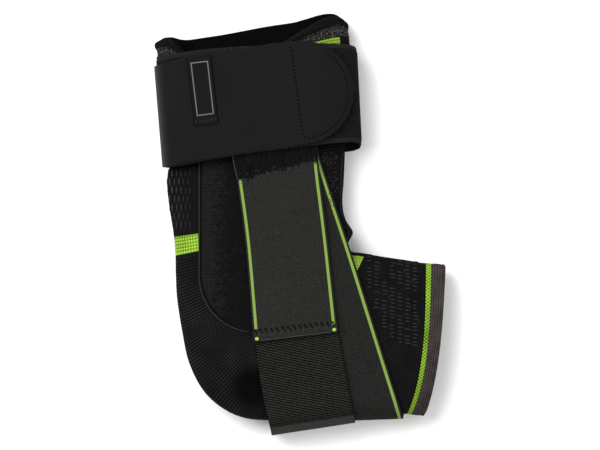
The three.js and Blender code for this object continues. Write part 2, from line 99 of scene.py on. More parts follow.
# Length of the way from a back point to a front point, its direction, and the direction up from it
def spanAxes(front, back):
    span = front - back
    length = np.linalg.norm(span, axis=-1)
    along = span / length[..., None]
    return length, along, np.stack([-along[..., 1], along[..., 0]], -1)


# The knitted tube: how it lies, from the calf rim to the toe edge
tube = {
    "wall": 2.4,
    "squareNear": 2.5,
    "squareFar": 3.4,
    "lipFade": 2.0,
    "lipRound": 0.022,
    "slackFrom": 4.5,
    # front x, front y, back x, back y, bow, low, high: sections from the calf rim to the toe edge
    "sections": np.array([
        (52.9, 224.5, -56.7, 216.9, 0.0, 3.0, 26.7),
        (55.3, 218.0, -55.6, 207.4, 0.0, 4.3, 25.4),
        (53.9, 207.0, -52.8, 199.0, 0.0, 4.3, 24.1),
        (53.2, 186.0, -50.6, 175.0, 0.0, 4.3, 23.5),
        (52.6, 165.5, -48.8, 150.0, 0.0, 4.3, 24.1),
        (52.4, 157.0, -50.3, 144.9, 0.0, 4.3, 26.5),
        (51.8, 140.9, -50.8, 135.1, 0.0, 2.8, 28.6),
        (51.0, 129.3, -49.3, 122.4, 0.0, 1.5, 29.5),
        (51.3, 122.4, -47.3, 109.6, 0.0, 0.3, 29.6),
        (52.8, 116.6, -46.1, 98.0, 0.0, 0.0, 29.8),
        (55.5, 112.2, -45.8, 84.1, 0.0, 0.0, 30.5),
        (57.0, 109.0, -45.0, 70.2, 0.0, 0.0, 31.0),
        (55.3, 105.0, -42.3, 52.8, 0.0, 0.0, 32.0),
        (53.7, 102.4, -38.3, 34.2, 0.0, 0.8, 33.0),
        (53.9, 100.6, -30.2, 18.0, 0.0, 2.4, 34.0),
        (55.1, 98.9, -19.1, 7.5, 0.0, 3.65, 34.2),
        (57.4, 97.7, -6.4, 1.7, 0.1, 3.65, 33.4),
        (61.5, 97.4, 7.5, 0.3, 0.4, 3.65, 32.5),
        (67.3, 96.3, 23.2, 1.5, 0.9, 3.65, 31.5),
        (74.2, 95.1, 38.9, 2.3, 1.6, 3.65, 30.5),
        (81.8, 94.0, 55.1, 2.9, 2.6, 3.65, 29.5),
        (89.9, 92.8, 71.3, 3.5, 3.6, 3.65, 28.6),
        (96.3, 91.6, 84.1, 3.8, 4.2, 3.65, 27.9),
        (99.5, 91.4, 88.2, 3.8, 4.4, 3.4, 27.2),
        (102.7, 91.1, 90.8, 3.5, 4.4, 2.9, 26.4),
        (106.6, 91.0, 94.5, 3.0, 3.7, 2.1, 25.6),
        (111.0, 90.0, 98.8, 3.0, 3.2, 1.1, 24.5),
    ]),
    # share across from the back, rise of the far lip, rise of the near lip
    "lips": [
        (0.0, 2.9, 2.9), (0.013, 4.0, 3.8), (0.026, 4.9, 4.4), (0.046, 5.4, 4.6), (0.062, 5.2, 4.2),
        (0.082, 4.6, 2.6), (0.103, 3.6, -0.6), (0.129, 3.0, -4.6), (0.165, 2.9, -7.4), (0.232, 3.5, -9.0),
        (0.335, 4.4, -9.6), (0.42, 5.4, -9.4), (0.49, 6.3, -8.7), (0.56, 7.2, -7.2), (0.62, 7.8, -5.2),
        (0.686, 8.3, -2.0), (0.747, 8.8, 1.7), (0.789, 9.9, 4.0), (0.825, 10.6, 5.8), (0.861, 11.6, 7.8),
        (0.9, 12.3, 9.4), (0.928, 12.6, 10.4), (0.95, 12.2, 10.6), (0.967, 11.4, 10.2), (0.982, 10.0, 9.2),
        (0.993, 8.4, 8.0), (1.0, 6.6, 6.6),
    ],
    # x, y, radius, depth of dents pressed into the near side
    "dents": [
        (-1.4, 19.0, 11.0, 5.0), (44.0, 133.0, 9.0, 1.2), (66.0, 22.0, 14.0, 1.6), (84.0, 30.0, 12.0, 1.4),
    ],
}
toeEnd = len(tube["sections"]) - 1.0


# Points of the tube at a place along and a turn around: 0 is the front end, a quarter the near side
def tubePoints(place, turn, inset):
    place, turn, inset = np.broadcast_arrays(place, turn, inset)
    column = [smoothRead(tube["sections"][:, i], place) for i in range(7)]
    front = np.stack(column[0:2], -1)
    back = np.stack(column[2:4], -1)
    bow, low, high = column[4], np.maximum(column[5], 0), column[6]
    isNear = np.sin(turn) >= 0
    x, z = sectionAt(turn, np.where(isNear, tube["squareNear"], tube["squareFar"]))
    across = (x + 1) / 2
    length, along, up = spanAxes(front, back)
    farLip, nearLip = [readSoft(tube["lips"], side, across, tube["lipRound"]) for side in (1, 2)]
    lip = np.where(isNear, nearLip, farLip)
    lift = lip * np.maximum(0, 1 - place / tube["lipFade"]) ** 2 - bow * np.sin(np.pi * across ** 0.72)
    plan = (front + back) / 2 + along * (x * (length / 2 - inset))[..., None] + up * lift[..., None]
    half = (high - low) / 2
    height = low + half + (half - inset) * z
    for dentX, dentY, radius, depth in tube["dents"]:
        away = ((plan[..., 0] - dentX) ** 2 + (plan[..., 1] - dentY) ** 2) / radius ** 2
        height = height - np.where(isNear, depth * np.exp(-away) * np.clip(z, 0, 1), 0)
    height = height + np.where(place > tube["slackFrom"], ripple(plan) * z, 0)
    return np.concatenate([plan, height[..., None]], -1)


# Slow waves of slack knit, and puckers at the bend of the instep
def ripple(plan):
    x, y = plan[..., 0], plan[..., 1]
    slow = np.sin(x / 9.0 + 1.7 * np.sin(y / 21.0)) * np.sin(y / 13.0 - x / 31.0)
    pucker = np.exp(-((x - 50) ** 2 / 130 + (y - 118) ** 2 / 420)) * np.sin((y + 0.45 * x) / 1.9)
    return 0.35 * slow + 0.55 * pucker


# Distance from the calf rim along the tube, at each place, measured a little over a quarter from the back
placeSteps = np.linspace(0, toeEnd, 1400)
quarterLine = np.stack([
    smoothRead(tube["sections"][:, 2 + i], placeSteps) * 0.72
    + smoothRead(tube["sections"][:, i], placeSteps) * 0.28 for i in range(2)
], -1)
distanceSteps = lengthsAlong(quarterLine)


def distanceAt(place):
    return np.interp(place, placeSteps, distanceSteps)


def placeAt(distance):
    return np.interp(distance, distanceSteps, placeSteps)


# Turns that are evenly spaced along the outline of a usual section, from one middle of the far side round
turnSteps = np.linspace(-0.5 * np.pi, 1.5 * np.pi, 2401)
outline = tubePoints(np.full_like(turnSteps, 9.0), turnSteps, 0.0)
aroundSteps = lengthsAlong(outline)
tubeRound = aroundSteps[-1]


def turnAt(share):
    return np.interp(share * tubeRound, aroundSteps, turnSteps)


def aroundAt(turn):
    return np.interp(turn, turnSteps, aroundSteps)


# A cloth surface: a grid of columns across (u) and rows along (v), laid out by a function of u and v.
# The UV map holds millimetres, so that a knit or weave keeps its real pitch.
def clothGrid(name, columns, rows, layOut, width, length, solid=False):
    work = bmesh.new()
    bmesh.ops.create_grid(work, x_segments=columns, y_segments=rows, size=1.0)
    work.verts.ensure_lookup_table()
    flat = np.array([vert.co[:2] for vert in work.verts])
    flat = (flat - flat.min(0)) / (flat.max(0) - flat.min(0))
    points = toRow(layOut(flat[:, 0], flat[:, 1]))
    layer = work.loops.layers.uv.new("cloth")
    sizes = flat * (width, length)
    for face in work.faces:
        face.smooth = True
        for loop in face.loops:
            loop[layer].uv = sizes[loop.vert.index]
    for vert, point in zip(work.verts, points):
        vert.co = point
    if solid:
        bmesh.ops.remove_doubles(work, verts=work.verts, dist=2e-6)
        bmesh.ops.recalc_face_normals(work, faces=work.faces)
    return finishPart(name, work)


# Turns a worked mesh into an object of the scene
def finishPart(name, work):
    data = bpy.data.meshes.new(name)
    work.to_mesh(data)
    work.free()
    piece = bpy.data.objects.new(name, data)
    bpy.context.collection.objects.link(piece)
    return piece


# Gives a piece its material, says which nodes it replaces and what it rides on
def dress(piece, material, slot, *nodes):
    piece.data.materials.append(material)
    if nodes:
        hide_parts(*nodes)
    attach(piece, "root")


# Gives a cloth its thickness, and softens its edges
def thicken(piece, thickness, edge=0.0):
    wall = piece.modifiers.new("wall", "SOLIDIFY")
    wall.thickness = thickness / 1000
    wall.offset = 0
    wall.use_even_offset = False
    if edge:
        soft = piece.modifiers.new("edge", "BEVEL")
        soft.width = edge / 1000
        soft.segments = 2
        soft.limit_method = "ANGLE"
        soft.angle_limit = math.radians(55)


# A round cord along a line of plan points, closed at its ends
def cordAlong(name, line, radius, around=6):
    line = np.asarray(line, float)
    steps = len(line) - 1
    places = np.linspace(0, 1, steps + 1)
    along = np.gradient(line, axis=0)
    along /= np.linalg.norm(along, axis=1)[:, None]
    side = np.cross(along, (0, 0, 1.0))
    side /= np.linalg.norm(side, axis=1)[:, None]
    up = np.cross(side, along)

    def layOut(u, v):
        i = np.rint(v * steps).astype(int)
        ends = [np.sin(np.pi * np.clip(way * steps / 2, 0, 0.5)) for way in (places[i], 1 - places[i])]
        taper = np.minimum(*ends)[:, None]
        angle = 2 * np.pi * u[:, None]
        return line[i] + radius * taper * (np.cos(angle) * side[i] + np.sin(angle) * up[i])

    return clothGrid(name, around, steps, layOut, 2 * np.pi * radius, lengthsAlong(line)[-1], solid=True)


# Many short threads, each a slim grain between two points, joined as one piece
def threads(name, pairs, radius, sides=6):
    work = bmesh.new()
    for start, end in pairs:
        start, end = Vector(toRow(start)), Vector(toRow(end))
        way = end - start
        turn = way.to_track_quat("Z", "Y").to_matrix().to_4x4()
        size = Matrix.Diagonal((radius / 1000, radius / 1000, way.length / 2, 1))
        bmesh.ops.create_uvsphere(work, u_segments=sides, v_segments=5, radius=1.0,
                                  matrix=Matrix.Translation((start + end) / 2) @ turn @ size)
    for face in work.faces:
        face.smooth = True
    return finishPart(name, work)


# The same, dressed as thread of one colour
def sew(name, pairs, radius, thread, color, slot, sides=6):
    piece = threads(name, pairs, radius, sides)
    dress(piece, makeThread(thread, color), slot)
    return piece


# Trees of the pieces laid so far, for finding how high the next one lies
laid = []


def layDown(piece):
    bpy.context.view_layer.update()
    laid.append(BVHTree.FromObject(piece, bpy.context.evaluated_depsgraph_get()))


# Height of the top of what is laid so far at each plan point, and far below where nothing lies
def topHeights(plan):
    down = Vector((0, 0, -1))
    heights = []
    for x, y in toRow(np.concatenate([plan, np.zeros((len(plan), 1))], 1))[:, :2]:
        hits = [tree.ray_cast(Vector((x, y, 0.2)), down)[0] for tree in laid]
        heights.append(max([hit.z * 1000 for hit in hits if hit], default=-60.0))
    return np.array(heights)


# Cloth pulled over what lies below: it never sinks in, and is straight where nothing pushes it up
def settle(floor, passes, along=0.7):
    z = floor.copy()
    for _ in range(passes):
        wide = np.pad(z, 1, mode="edge")
        lengthwise = (wide[2:, 1:-1] + wide[:-2, 1:-1]) / 2
        sideways = (wide[1:-1, 2:] + wide[1:-1, :-2]) / 2
        z = np.maximum(floor, along * lengthwise + (1 - along) * sideways)
    return z


# Heights of a seam, evened out over its neighbours
def evened(z, passes):
    for _ in range(passes):
        z[1:-1] = (z[:-2] + z[2:] + 2 * z[1:-1]) / 4
    return z


# Rows of plan points between two edge lines, each given as points that a smooth line passes
def between(left, right, rows, columns):
    f = np.linspace(0, 1, columns + 1)[None, :, None]
    return evenLine(left, rows)[:, None] * (1 - f) + evenLine(right, rows)[:, None] * f


# Points spaced evenly along the smooth line through a few points
def evenLine(points, count):
    points = np.asarray(points, float)
    places = np.linspace(0, len(points) - 1, 400)
    fine = np.stack([smoothRead(points[:, i], places) for i in range(2)], -1)
    lengths = lengthsAlong(fine)
    at = np.linspace(0, lengths[-1], count + 1)
    return np.stack([np.interp(at, lengths, fine[:, i]) for i in range(2)], -1)


# Lays a grid of plan points over what is there, as the middle of a cloth's thickness
def drape(plan, thickness, passes=160, along=0.7):
    shape = plan.shape[:2]
    heights = topHeights(plan.reshape(-1, 2)).reshape(shape)
    z = settle(heights, passes, along) + gap + thickness / 2
    return np.concatenate([plan, z[..., None]], -1)


# Direction of a fold line, and the direction square to it, back over the near side
def foldAxes(left, right):
    line = np.array(right) - np.array(left)
    line = line / np.linalg.norm(line)
    return line, np.array([-line[1], line[0]])


# Turns a draped strap round a fold line and runs it on along the far side
def foldOver(near, foldLeft, foldRight, square, farZ, farLength, turnRows, farRows, slant=0.0):
    f = np.linspace(0, 1, near.shape[1])[:, None]
    edge = np.array(foldLeft) * (1 - f) + np.array(foldRight) * f
    line, inward = foldAxes(foldLeft, foldRight)
    back = near[-1, :, :2] - edge
    onward = 2 * (back @ inward)[:, None] * inward - back
    nearZ = near[-1, :, 2]
    rows = []
    for i in range(1, turnRows + 1):
        angle = math.pi * (0.5 - i / turnRows)
        swing = math.copysign(abs(math.sin(angle)) ** (2 / square), angle)
        depth = 1 - max(math.cos(angle), 0.0) ** (2 / square)
        plan = edge + (back if angle > 0 else onward) * depth
        rows.append(np.concatenate([plan, ((nearZ + farZ) / 2 + (nearZ - farZ) / 2 * swing)[:, None]], 1))
    step = onward / np.linalg.norm(onward, axis=1)[:, None]
    start = rows[-1]
    for i in range(1, farRows + 1):
        run = (farLength - np.linalg.norm(back[0])) * i / farRows
        rows.append(np.concatenate([start[:, :2] + step * run - line * slant * run, start[:, 2:]], 1))
    return np.concatenate([near, np.array(rows)], 0)


# Makes a cloth piece of rows of points
def sheetOf(name, grid, width, length):
    rows, columns = grid.shape[0] - 1, grid.shape[1] - 1

    def layOut(u, v):
        return grid[np.rint(v * rows).astype(int), np.rint(u * columns).astype(int)]

    return clothGrid(name, columns, rows, layOut, width, length)


# A point of a grid of points, read between its rows and columns
def gridPoint(grid, v, u):
    i, j = v * (grid.shape[0] - 1), u * (grid.shape[1] - 1)
    a, b = int(i), int(j)
    f, g = i - a, j - b
    c, d = min(a + 1, grid.shape[0] - 1), min(b + 1, grid.shape[1] - 1)
    near = grid[a, b] * (1 - f) * (1 - g) + grid[c, b] * f * (1 - g)
    return near + grid[a, d] * (1 - f) * g + grid[c, d] * f * g


# The colour of a hex value, turned linear
def fromHex(value):
    channels = [int(value[i:i + 2], 16) / 255 for i in (1, 3, 5)]
    return tuple(c / 12.92 if c <= 0.04045 else ((c + 0.055) / 1.055) ** 2.4 for c in channels) + (1.0,)


# Adds one shader node with its settings, values and links
def addNode(tree, kind, settings=None, values=None, links=None):
    node = tree.nodes.new(kind)
    for name, value in (settings or {}).items():
        setattr(node, name, value)
    for name, value in (values or {}).items():
        node.inputs[name].default_value = value
    for name, socket in (links or {}).items():
        tree.links.new(socket, node.inputs[name])
    return node


# Roughness, specular level and sheen of the knits and of the piles
knitShine = (0.95, 0.04, 0.0)
pileShine = (1.0, 0.02, 0.02)


def newMaterial(name, roughness, specular, sheen):
    material = bpy.data.materials.new(name)
    material.use_nodes = True
    tree = material.node_tree
    shader = tree.nodes["Principled BSDF"]
    shader.inputs["Roughness"].default_value = roughness
    shader.inputs["Specular IOR Level"].default_value = specular
    shader.inputs["Sheen Weight"].default_value = sheen
    shader.inputs["Sheen Roughness"].default_value = 0.6
    return material, tree, shader


# u and v of the cloth map, in millimetres
def clothAxes(tree):
    source = addNode(tree, "ShaderNodeUVMap", {"uv_map": "cloth"})
    split = addNode(tree, "ShaderNodeSeparateXYZ", links={"Vector": source.outputs["UV"]})
    return split.outputs["X"], split.outputs["Y"]


# A chain of sums on one socket: each step is an operation and its second value or socket
def worked(tree, socket, *steps):
    for operation, second in steps:
        node = addNode(tree, "ShaderNodeMath", {"operation": operation}, links={0: socket})
        if isinstance(second, (int, float)):
            node.inputs[1].default_value = second
        elif second is not None:
            tree.links.new(second, node.inputs[1])
        socket = node.outputs[0]
    return socket


# Turns values from low to high into values from start to end
def ramp(tree, socket, low, high, start=0.0, end=1.0, kind="LINEAR"):
    node = addNode(tree, "ShaderNodeMapRange", {"interpolation_type": kind},
                   {"From Min": low, "From Max": high, "To Min": start, "To Max": end}, {"Value": socket})
    return node.outputs[0]


# 1 inside a band of values and 0 outside, with a soft edge
def band(tree, socket, low, high, soft):
    rise = ramp(tree, socket, low - soft, low + soft, kind="SMOOTHSTEP")
    fall = ramp(tree, socket, high - soft, high + soft, 1.0, 0.0, "SMOOTHSTEP")
    return worked(tree, rise, ("MULTIPLY", fall))


# Swings between 1 and -1 once in each pitch
def sineOf(tree, socket, pitch):
    return worked(tree, socket, ("DIVIDE", pitch), ("MULTIPLY", 2 * math.pi), ("SINE", None))


# The same, but from 1 down; swing is half of how far it falls
def wave(tree, socket, pitch, swing=0.5):
    return worked(tree, sineOf(tree, socket, pitch), ("MULTIPLY", swing), ("ADD", 1 - swing))


# 1 inside a four-sided patch: its low and high u, and its low and high v
def patch(tree, u, v, limits, soft):
    inU, inV = band(tree, u, *limits[:2], soft), band(tree, v, *limits[2:], soft)
    return worked(tree, inU, ("MULTIPLY", inV))


# Height of a knit: rows of loops (courses) in columns (wales), whose loops lean both ways like a V
def knitHeight(tree, u, v, knit):
    column = worked(tree, u, ("DIVIDE", knit["wale"]), ("FRACT", None), ("SUBTRACT", 0.5), ("ABSOLUTE", None),
                    ("MULTIPLY", 2.0))
    groove = worked(tree, column, ("POWER", 2.0), ("MULTIPLY", -knit["groove"]), ("ADD", 1.0))
    shift = worked(tree, column, ("MULTIPLY", knit["lean"]))
    loop = wave(tree, worked(tree, v, ("DIVIDE", knit["course"]), ("ADD", shift)), 1.0)
    return worked(tree, loop, ("MULTIPLY", groove))


# A grid of round loops at a pitch
def dots(tree, u, v, pitch):
    return worked(tree, wave(tree, u, pitch), ("MULTIPLY", wave(tree, v, pitch)))


# 1 where a mask is 0, and 0 where it is 1
def outside(tree, mask):
    return worked(tree, mask, ("SUBTRACT", 1.0), ("ABSOLUTE", None))


# The greatest of a few masks
def anyOf(tree, masks):
    total = masks[0]
    for mask in masks[1:]:
        total = worked(tree, total, ("MAXIMUM", mask))
    return total


# One colour over another; either may be a socket or a hex value
def layered(tree, factor, under, over):
    mix = addNode(tree, "ShaderNodeMix", {"data_type": "RGBA"}, links={"Factor": factor})
    for name, color in (("A", under), ("B", over)):
        if isinstance(color, str):
            mix.inputs[name].default_value = fromHex(color)
        else:
            tree.links.new(color, mix.inputs[name])
    return mix.outputs["Result"]


# Gives a material its colour, and its relief from a height and a depth in millimetres
def coat(tree, shader, color, height, depth):
    tree.links.new(color, shader.inputs["Base Color"])
    bump = addNode(tree, "ShaderNodeBump", values={"Distance": depth / 1000, "Strength": 1.0},
                   links={"Height": height})
    tree.links.new(bump.outputs["Normal"], shader.inputs["Normal"])


# Irregular noise over a piece, at a scale per metre
def mottle(tree, scale, detail=3.0):
    place = addNode(tree, "ShaderNodeTexCoord")
    noise = addNode(tree, "ShaderNodeTexNoise", values={"Scale": scale, "Detail": detail},
                    links={"Vector": place.outputs["Object"]})
    return noise.outputs["Fac"]


# Soft round spot at a plan point: 1 in its middle and 0 outside its radius, in millimetres
def spot(tree, x, y, radius):
    place = addNode(tree, "ShaderNodeTexCoord")
    flat = addNode(tree, "ShaderNodeVectorMath", {"operation": "MULTIPLY"}, {1: (1, 1, 0)},
                   {0: place.outputs["Object"]})
    away = addNode(tree, "ShaderNodeVectorMath", {"operation": "DISTANCE"}, {1: tuple(toRow((x, y, 0)))},
                   {0: flat.outputs[0]})
    return ramp(tree, away.outputs["Value"], radius / 1000, 0.35 * radius / 1000, kind="SMOOTHSTEP")


# The tube's inner face, where v of the map is far below nothing, is painted near black as shade
def paintInsideShade(tree, v, color):
    return layered(tree, worked(tree, v, ("LESS_THAN", -100.0)), color, "#050505")


# Black polyamide and elastane knit, with the lime yarn knitted in at the heel and the instep.
# The heel is a ribbed terry knit, the foot and leg are finer, and the dent beside the strap is painted near
# black as shade.
def makeSleeveKnit(limePatches, heel):
    material, tree, shader = newMaterial("blackElasticKnit", *knitShine)
    u, v = clothAxes(tree)
    ribbed = knitHeight(tree, u, v, {"wale": 1.6, "groove": 0.8, "course": 1.45, "lean": 0.35})
    fine = knitHeight(tree, u, v, {"wale": 1.2, "groove": 0.6, "course": 1.15, "lean": 0.3})
    atHeel = band(tree, v, heel[0], heel[1], 4.0)
    slow = mottle(tree, 60.0)
    colors = [layered(tree, worked(tree, height, ("MULTIPLY", slow), ("MULTIPLY", 1.8)), dark, light)
              for height, dark, light in ((fine, "#070707", "#202021"), (ribbed, "#040405", "#242426"))]
    # painted shade: the dent beside the webbing is painted near black, and the knit's bump is calmed there
    dentShade = spot(tree, -1.0, 19.0, 17.5)
    color = paintInsideShade(tree, v, layered(tree, dentShade, layered(tree, atHeel, *colors), "#040404"))
    loops = worked(tree, dots(tree, u, v, 1.7), ("ADD", slow), ("SUBTRACT", 0.2))
    lime = layered(tree, loops, "#47680f", "#a9d04a")
    patches = [patch(tree, u, v, limits, 0.15) for limits in limePatches]
    heights = addNode(tree, "ShaderNodeMix", {"data_type": "FLOAT"}, links={"Factor": atHeel})
    tree.links.new(fine, heights.inputs["A"])
    tree.links.new(ribbed, heights.inputs["B"])
    calm = worked(tree, dentShade, ("MULTIPLY", -0.9), ("ADD", 1.0))
    coat(tree, shader, layered(tree, anyOf(tree, patches), color, lime),
         worked(tree, heights.outputs["Result"], ("MULTIPLY", calm)), 0.5)
    return material


# The lime ring under the calf cuff; it stops at a black seam strip up the front edge
def makeCalfStripe(seam):
    material, tree, shader = newMaterial("limeStripeKnit", *knitShine)
    u, v = clothAxes(tree)
    height = knitHeight(tree, u, v, {"wale": 1.3, "groove": 0.5, "course": 1.1, "lean": 0.5})
    black = layered(tree, height, "#060606", "#1e1e1e")
    lime = layered(tree, height, "#54761a", "#a2c94a")
    outer = layered(tree, band(tree, u, seam[0], seam[1], 0.2), lime, black)
    coat(tree, shader, paintInsideShade(tree, v, outer), height, 0.5)
    return material


# Calf cuff: a rolled black edge, then grey melange knit with light flecks on its outer face
def makeCalfCuff(length):
    material, tree, shader = newMaterial("rolledCuffKnit", *knitShine)
    u, v = clothAxes(tree)
    fleck = ramp(tree, mottle(tree, 1900.0, 2.0), 0.48, 0.7)
    strong = worked(tree, wave(tree, u, 1.5, 0.35), ("MULTIPLY", wave(tree, v, 1.5, 0.2)), ("MULTIPLY", 1.2),
                    ("MULTIPLY", fleck))
    grey = layered(tree, strong, "#080707", "#7a7672")
    roll = layered(tree, worked(tree, fleck, ("MULTIPLY", 0.28)), "#060606", "#3c3b3a")
    outer = layered(tree, band(tree, v, 3.3, length + 2.0, 0.9), roll, grey)
    coat(tree, shader, paintInsideShade(tree, v, outer), worked(tree, strong, ("MULTIPLY", 0.5)), 0.3)
    return material


# Smooth woven elastic: fine slanting grain, and lime warp lines at lines that end at a length
def makeStrapElastic(name, lines, lineEnd, dark, light):
    material, tree, shader = newMaterial(name, 0.9, 0.05, 0.0)
    u, v = clothAxes(tree)
    slant = wave(tree, worked(tree, u, ("MULTIPLY", 0.9), ("ADD", v)), 1.1)
    grain = worked(tree, slant, ("MULTIPLY", wave(tree, u, 0.9)))
    speck = mottle(tree, 1200.0, 2.0)
    share = worked(tree, speck, ("MULTIPLY", 1.5), ("ADD", worked(tree, grain, ("MULTIPLY", 0.4))),
                   ("SUBTRACT", 0.4))
    color = layered(tree, share, dark, light)
    lime = layered(tree, wave(tree, v, 1.3), "#688237", "#769047")
    onLine = anyOf(tree, [band(tree, u, low, high, 0.2) for low, high in lines])
    slope = worked(tree, u, ("MULTIPLY", -0.055), ("ADD", v))
    mask = worked(tree, band(tree, slope, -50.0, lineEnd, 0.3), ("MULTIPLY", onLine))
    coat(tree, shader, layered(tree, mask, color, lime),
         worked(tree, grain, ("MULTIPLY", 0.5), ("ADD", mask)), 0.22)
    return material


# Ribbed elastic: the ribs are in the mesh, and the material paints shade into their grooves
def makeRibbedElastic(ribs):
    material, tree, shader = newMaterial("ribbedElastic", 0.95, 0.02, 0.0)
    u, v = clothAxes(tree)
    phase = worked(tree, u, ("MULTIPLY", -ribs["slope"]), ("ADD", v), ("DIVIDE", ribs["pitch"]),
                   ("ADD", ribs["start"]))
    rib = worked(tree, phase, ("MULTIPLY", 2 * math.pi), ("COSINE", None), ("MULTIPLY", 0.5), ("ADD", 0.5))
    speck = mottle(tree, 800.0, 2.0)
    # painted shade: the grooves between the ribs go to black
    share = worked(tree, rib, ("POWER", 2.4), ("MULTIPLY", speck), ("MULTIPLY", 1.9))
    ribbed = layered(tree, share, "#000000", "#292926")
    bare = layered(tree, speck, "#252423", "#413f3d")
    atFold = band(tree, v, ribs["plain"][0], ribs["plain"][1], 1.5)
    coat(tree, shader, layered(tree, atFold, ribbed, bare), sineOf(tree, u, 0.8), 0.06)
    return material


# How much a pile of tiny loops shines, streaked along the warp by a scale along each axis of the map
def pileStreaks(tree, streak, low, high):
    place = addNode(tree, "ShaderNodeUVMap", {"uv_map": "cloth"})
    stretch = addNode(tree, "ShaderNodeMapping", links={"Vector": place.outputs["UV"]})
    stretch.inputs["Scale"].default_value = streak
    noise = addNode(tree, "ShaderNodeTexNoise", values={"Scale": 1.0, "Detail": 4.0, "Roughness": 0.65},
                    links={"Vector": stretch.outputs["Vector"]})
    return ramp(tree, noise.outputs["Fac"], low, high)


# Brushed loop pile of the patch on the side strap
def makePile():
    material, tree, shader = newMaterial("loopPile", *pileShine)
    share = pileStreaks(tree, (1.1, 0.16, 1.0), 0.32, 0.72)
    coat(tree, shader, layered(tree, share, "#010101", "#141414"), share, 0.7)
    return material


# Plain cloth with a fine grain that is drawn a little coarser than the real one so that it shows
def makePlain(name, dark, light, roughness, depth, pitch, contrast=0.35):
    material, tree, shader = newMaterial(name, roughness, 0.05, 0.0)
    warp, weft = [sineOf(tree, axis, pitch) for axis in clothAxes(tree)]
    weave = worked(tree, warp, ("MULTIPLY", weft), ("MULTIPLY", 0.5), ("ADD", 0.5))
    share = worked(tree, weave, ("SUBTRACT", 0.5), ("MULTIPLY", contrast), ("ADD", mottle(tree, 40.0)))
    coat(tree, shader, layered(tree, share, dark, light), weave, depth)
    return material


# Ribbed hem knit of grey melange yarn: loops in level and upright rows
def makeToeCuff():
    material, tree, shader = newMaterial("greyRibKnit", 0.95, 0.05, 0.0)
    loops = dots(tree, *clothAxes(tree), 1.5)
    share = worked(tree, loops, ("MULTIPLY", 0.9), ("ADD", mottle(tree, 120.0)), ("SUBTRACT", 0.3))
    coat(tree, shader, layered(tree, share, "#181514", "#494341"), loops, 0.3)
    return material


# Polyester sewing thread or yarn
def makeThread(name, color):
    material, _, shader = newMaterial(name, 0.8, 0.08, 0.0)
    shader.inputs["Base Color"].default_value = fromHex(color)
    return material


print("frame and tools are ready")


# Where a step round a wall's section is: out along the outer face, over the edge, back along the inner
# face and over the other edge. Gives the share of the length and the share of the thickness.
def roundWall(step, rows, edgeRows):
    corners = np.cumsum([0, rows, edgeRows, rows, edgeRows])
    return np.interp(step, corners, [0, 1, 1, 0, 0]), np.interp(step, corners, [0, 0, 1, 1, 0])


# A closed piece of the tube wall between two distances from the rim. wallAt gives the wall at a share
# of the way.
def tubePiece(name, start, end, steps, wallAt, columns=200, edgeRows=2):
    total = 2 * steps + 2 * edgeRows
    span = end - start

    def layOut(u, v):
        share, depth = roundWall(v * total, steps, edgeRows)
        wall = wallAt(share)
        inset = tube["wall"] - wall + depth * wall
        return tubePoints(placeAt(start + share * span), turnAt(u), inset)

    piece = clothGrid(name, columns, total, layOut, tubeRound, 1.0, solid=True)
    # v of the map is the distance from the rim on the outer face, and far below nothing on the inner one
    for loop in piece.data.uv_layers["cloth"].uv:
        step = loop.vector.y * total
        distance = start + float(roundWall(step, steps, edgeRows)[0]) * span
        isOuter = step <= steps + 0.5 * edgeRows
        loop.vector = (loop.vector.x, distance if isOuter else -500.0 - distance)
    return piece


hems = {"calfCuff": 7.2, "calfStripe": 3.6, "seam": 0.15}
tubeLength = float(distanceSteps[-1])
# The quarter line is a little shorter than the middle at the toes, so the hems there are placed by table rows
toeStripeStart, toeCuffStart = float(distanceAt(23.0)), float(distanceAt(24.0))
calfStripeStart = hems["calfCuff"]
sleeveStart = calfStripeStart + hems["calfStripe"]


def evenWall(share):
    return np.full_like(share, tube["wall"])


# A rolled edge at the rim, then flat
def cuffWall(share):
    roll = np.clip(1 - np.abs(share - 0.26) / 0.26, 0, 1)
    return tube["wall"] + 0.2 + 1.4 * np.sqrt(roll) - 0.9 * (share < 0.01)


# A narrow rounded lip at the toe edge
def toeCuffWall(share):
    lip = np.clip((share - 0.72) / 0.28, 0, 1)
    return tube["wall"] + 0.5 * np.sin(np.pi * lip) - 0.9 * lip ** 4


heelPatch = (aroundAt(math.pi * 0.70), aroundAt(math.pi * 1.30), distanceAt(8.27), distanceAt(9.17))
instepPatch = (aroundAt(0.0) + 5.9, aroundAt(math.pi * 0.3), distanceAt(15.2), distanceAt(17.5))
frontStrip = (aroundAt(-math.pi * 0.1), aroundAt(math.pi * 0.16))
heelReach = (tubeLength * 0.405, tubeLength * 0.68)
seam = hems["seam"]

sleeve = tubePiece("knitSleeve", sleeveStart, toeStripeStart - seam, 190, evenWall)
dress(sleeve, makeSleeveKnit([heelPatch, instepPatch], heelReach), "black_knit", "knit_sleeve")
calfCuff = tubePiece("calfCuff", 0.0, calfStripeStart - seam, 10, cuffWall)
dress(calfCuff, makeCalfCuff(hems["calfCuff"]), "dark_cuff_knit", "calf_cuff")
calfStripe = tubePiece("calfStripe", calfStripeStart, sleeveStart - seam, 4, evenWall)
dress(calfStripe, makeCalfStripe(frontStrip), "lime_knit", "calf_stripe")
toeStripe = tubePiece("toeStripe", toeStripeStart, toeCuffStart - seam, 5, evenWall)
dress(toeStripe, makePlain("limeKnit", "#223902", "#8db538", 0.95, 0.3, 2.2, 0.95), "lime_knit", "toe_stripe")
toeCuff = tubePiece("toeCuff", toeCuffStart, tubeLength, 12, toeCuffWall)
dress(toeCuff, makeToeCuff(), "grey_cuff_knit", "toe_cuff")
for piece in (sleeve, calfCuff, calfStripe, toeStripe, toeCuff):
    layDown(piece)
print("tube done")


# The ankle panel: a U on the outer side of the ankle
panel = {"half": 32.5, "top": 162.5, "bottom": 51.5, "thickness": 1.0, "weltTop": 155.0}
panelRound = panel["bottom"] + panel["half"]


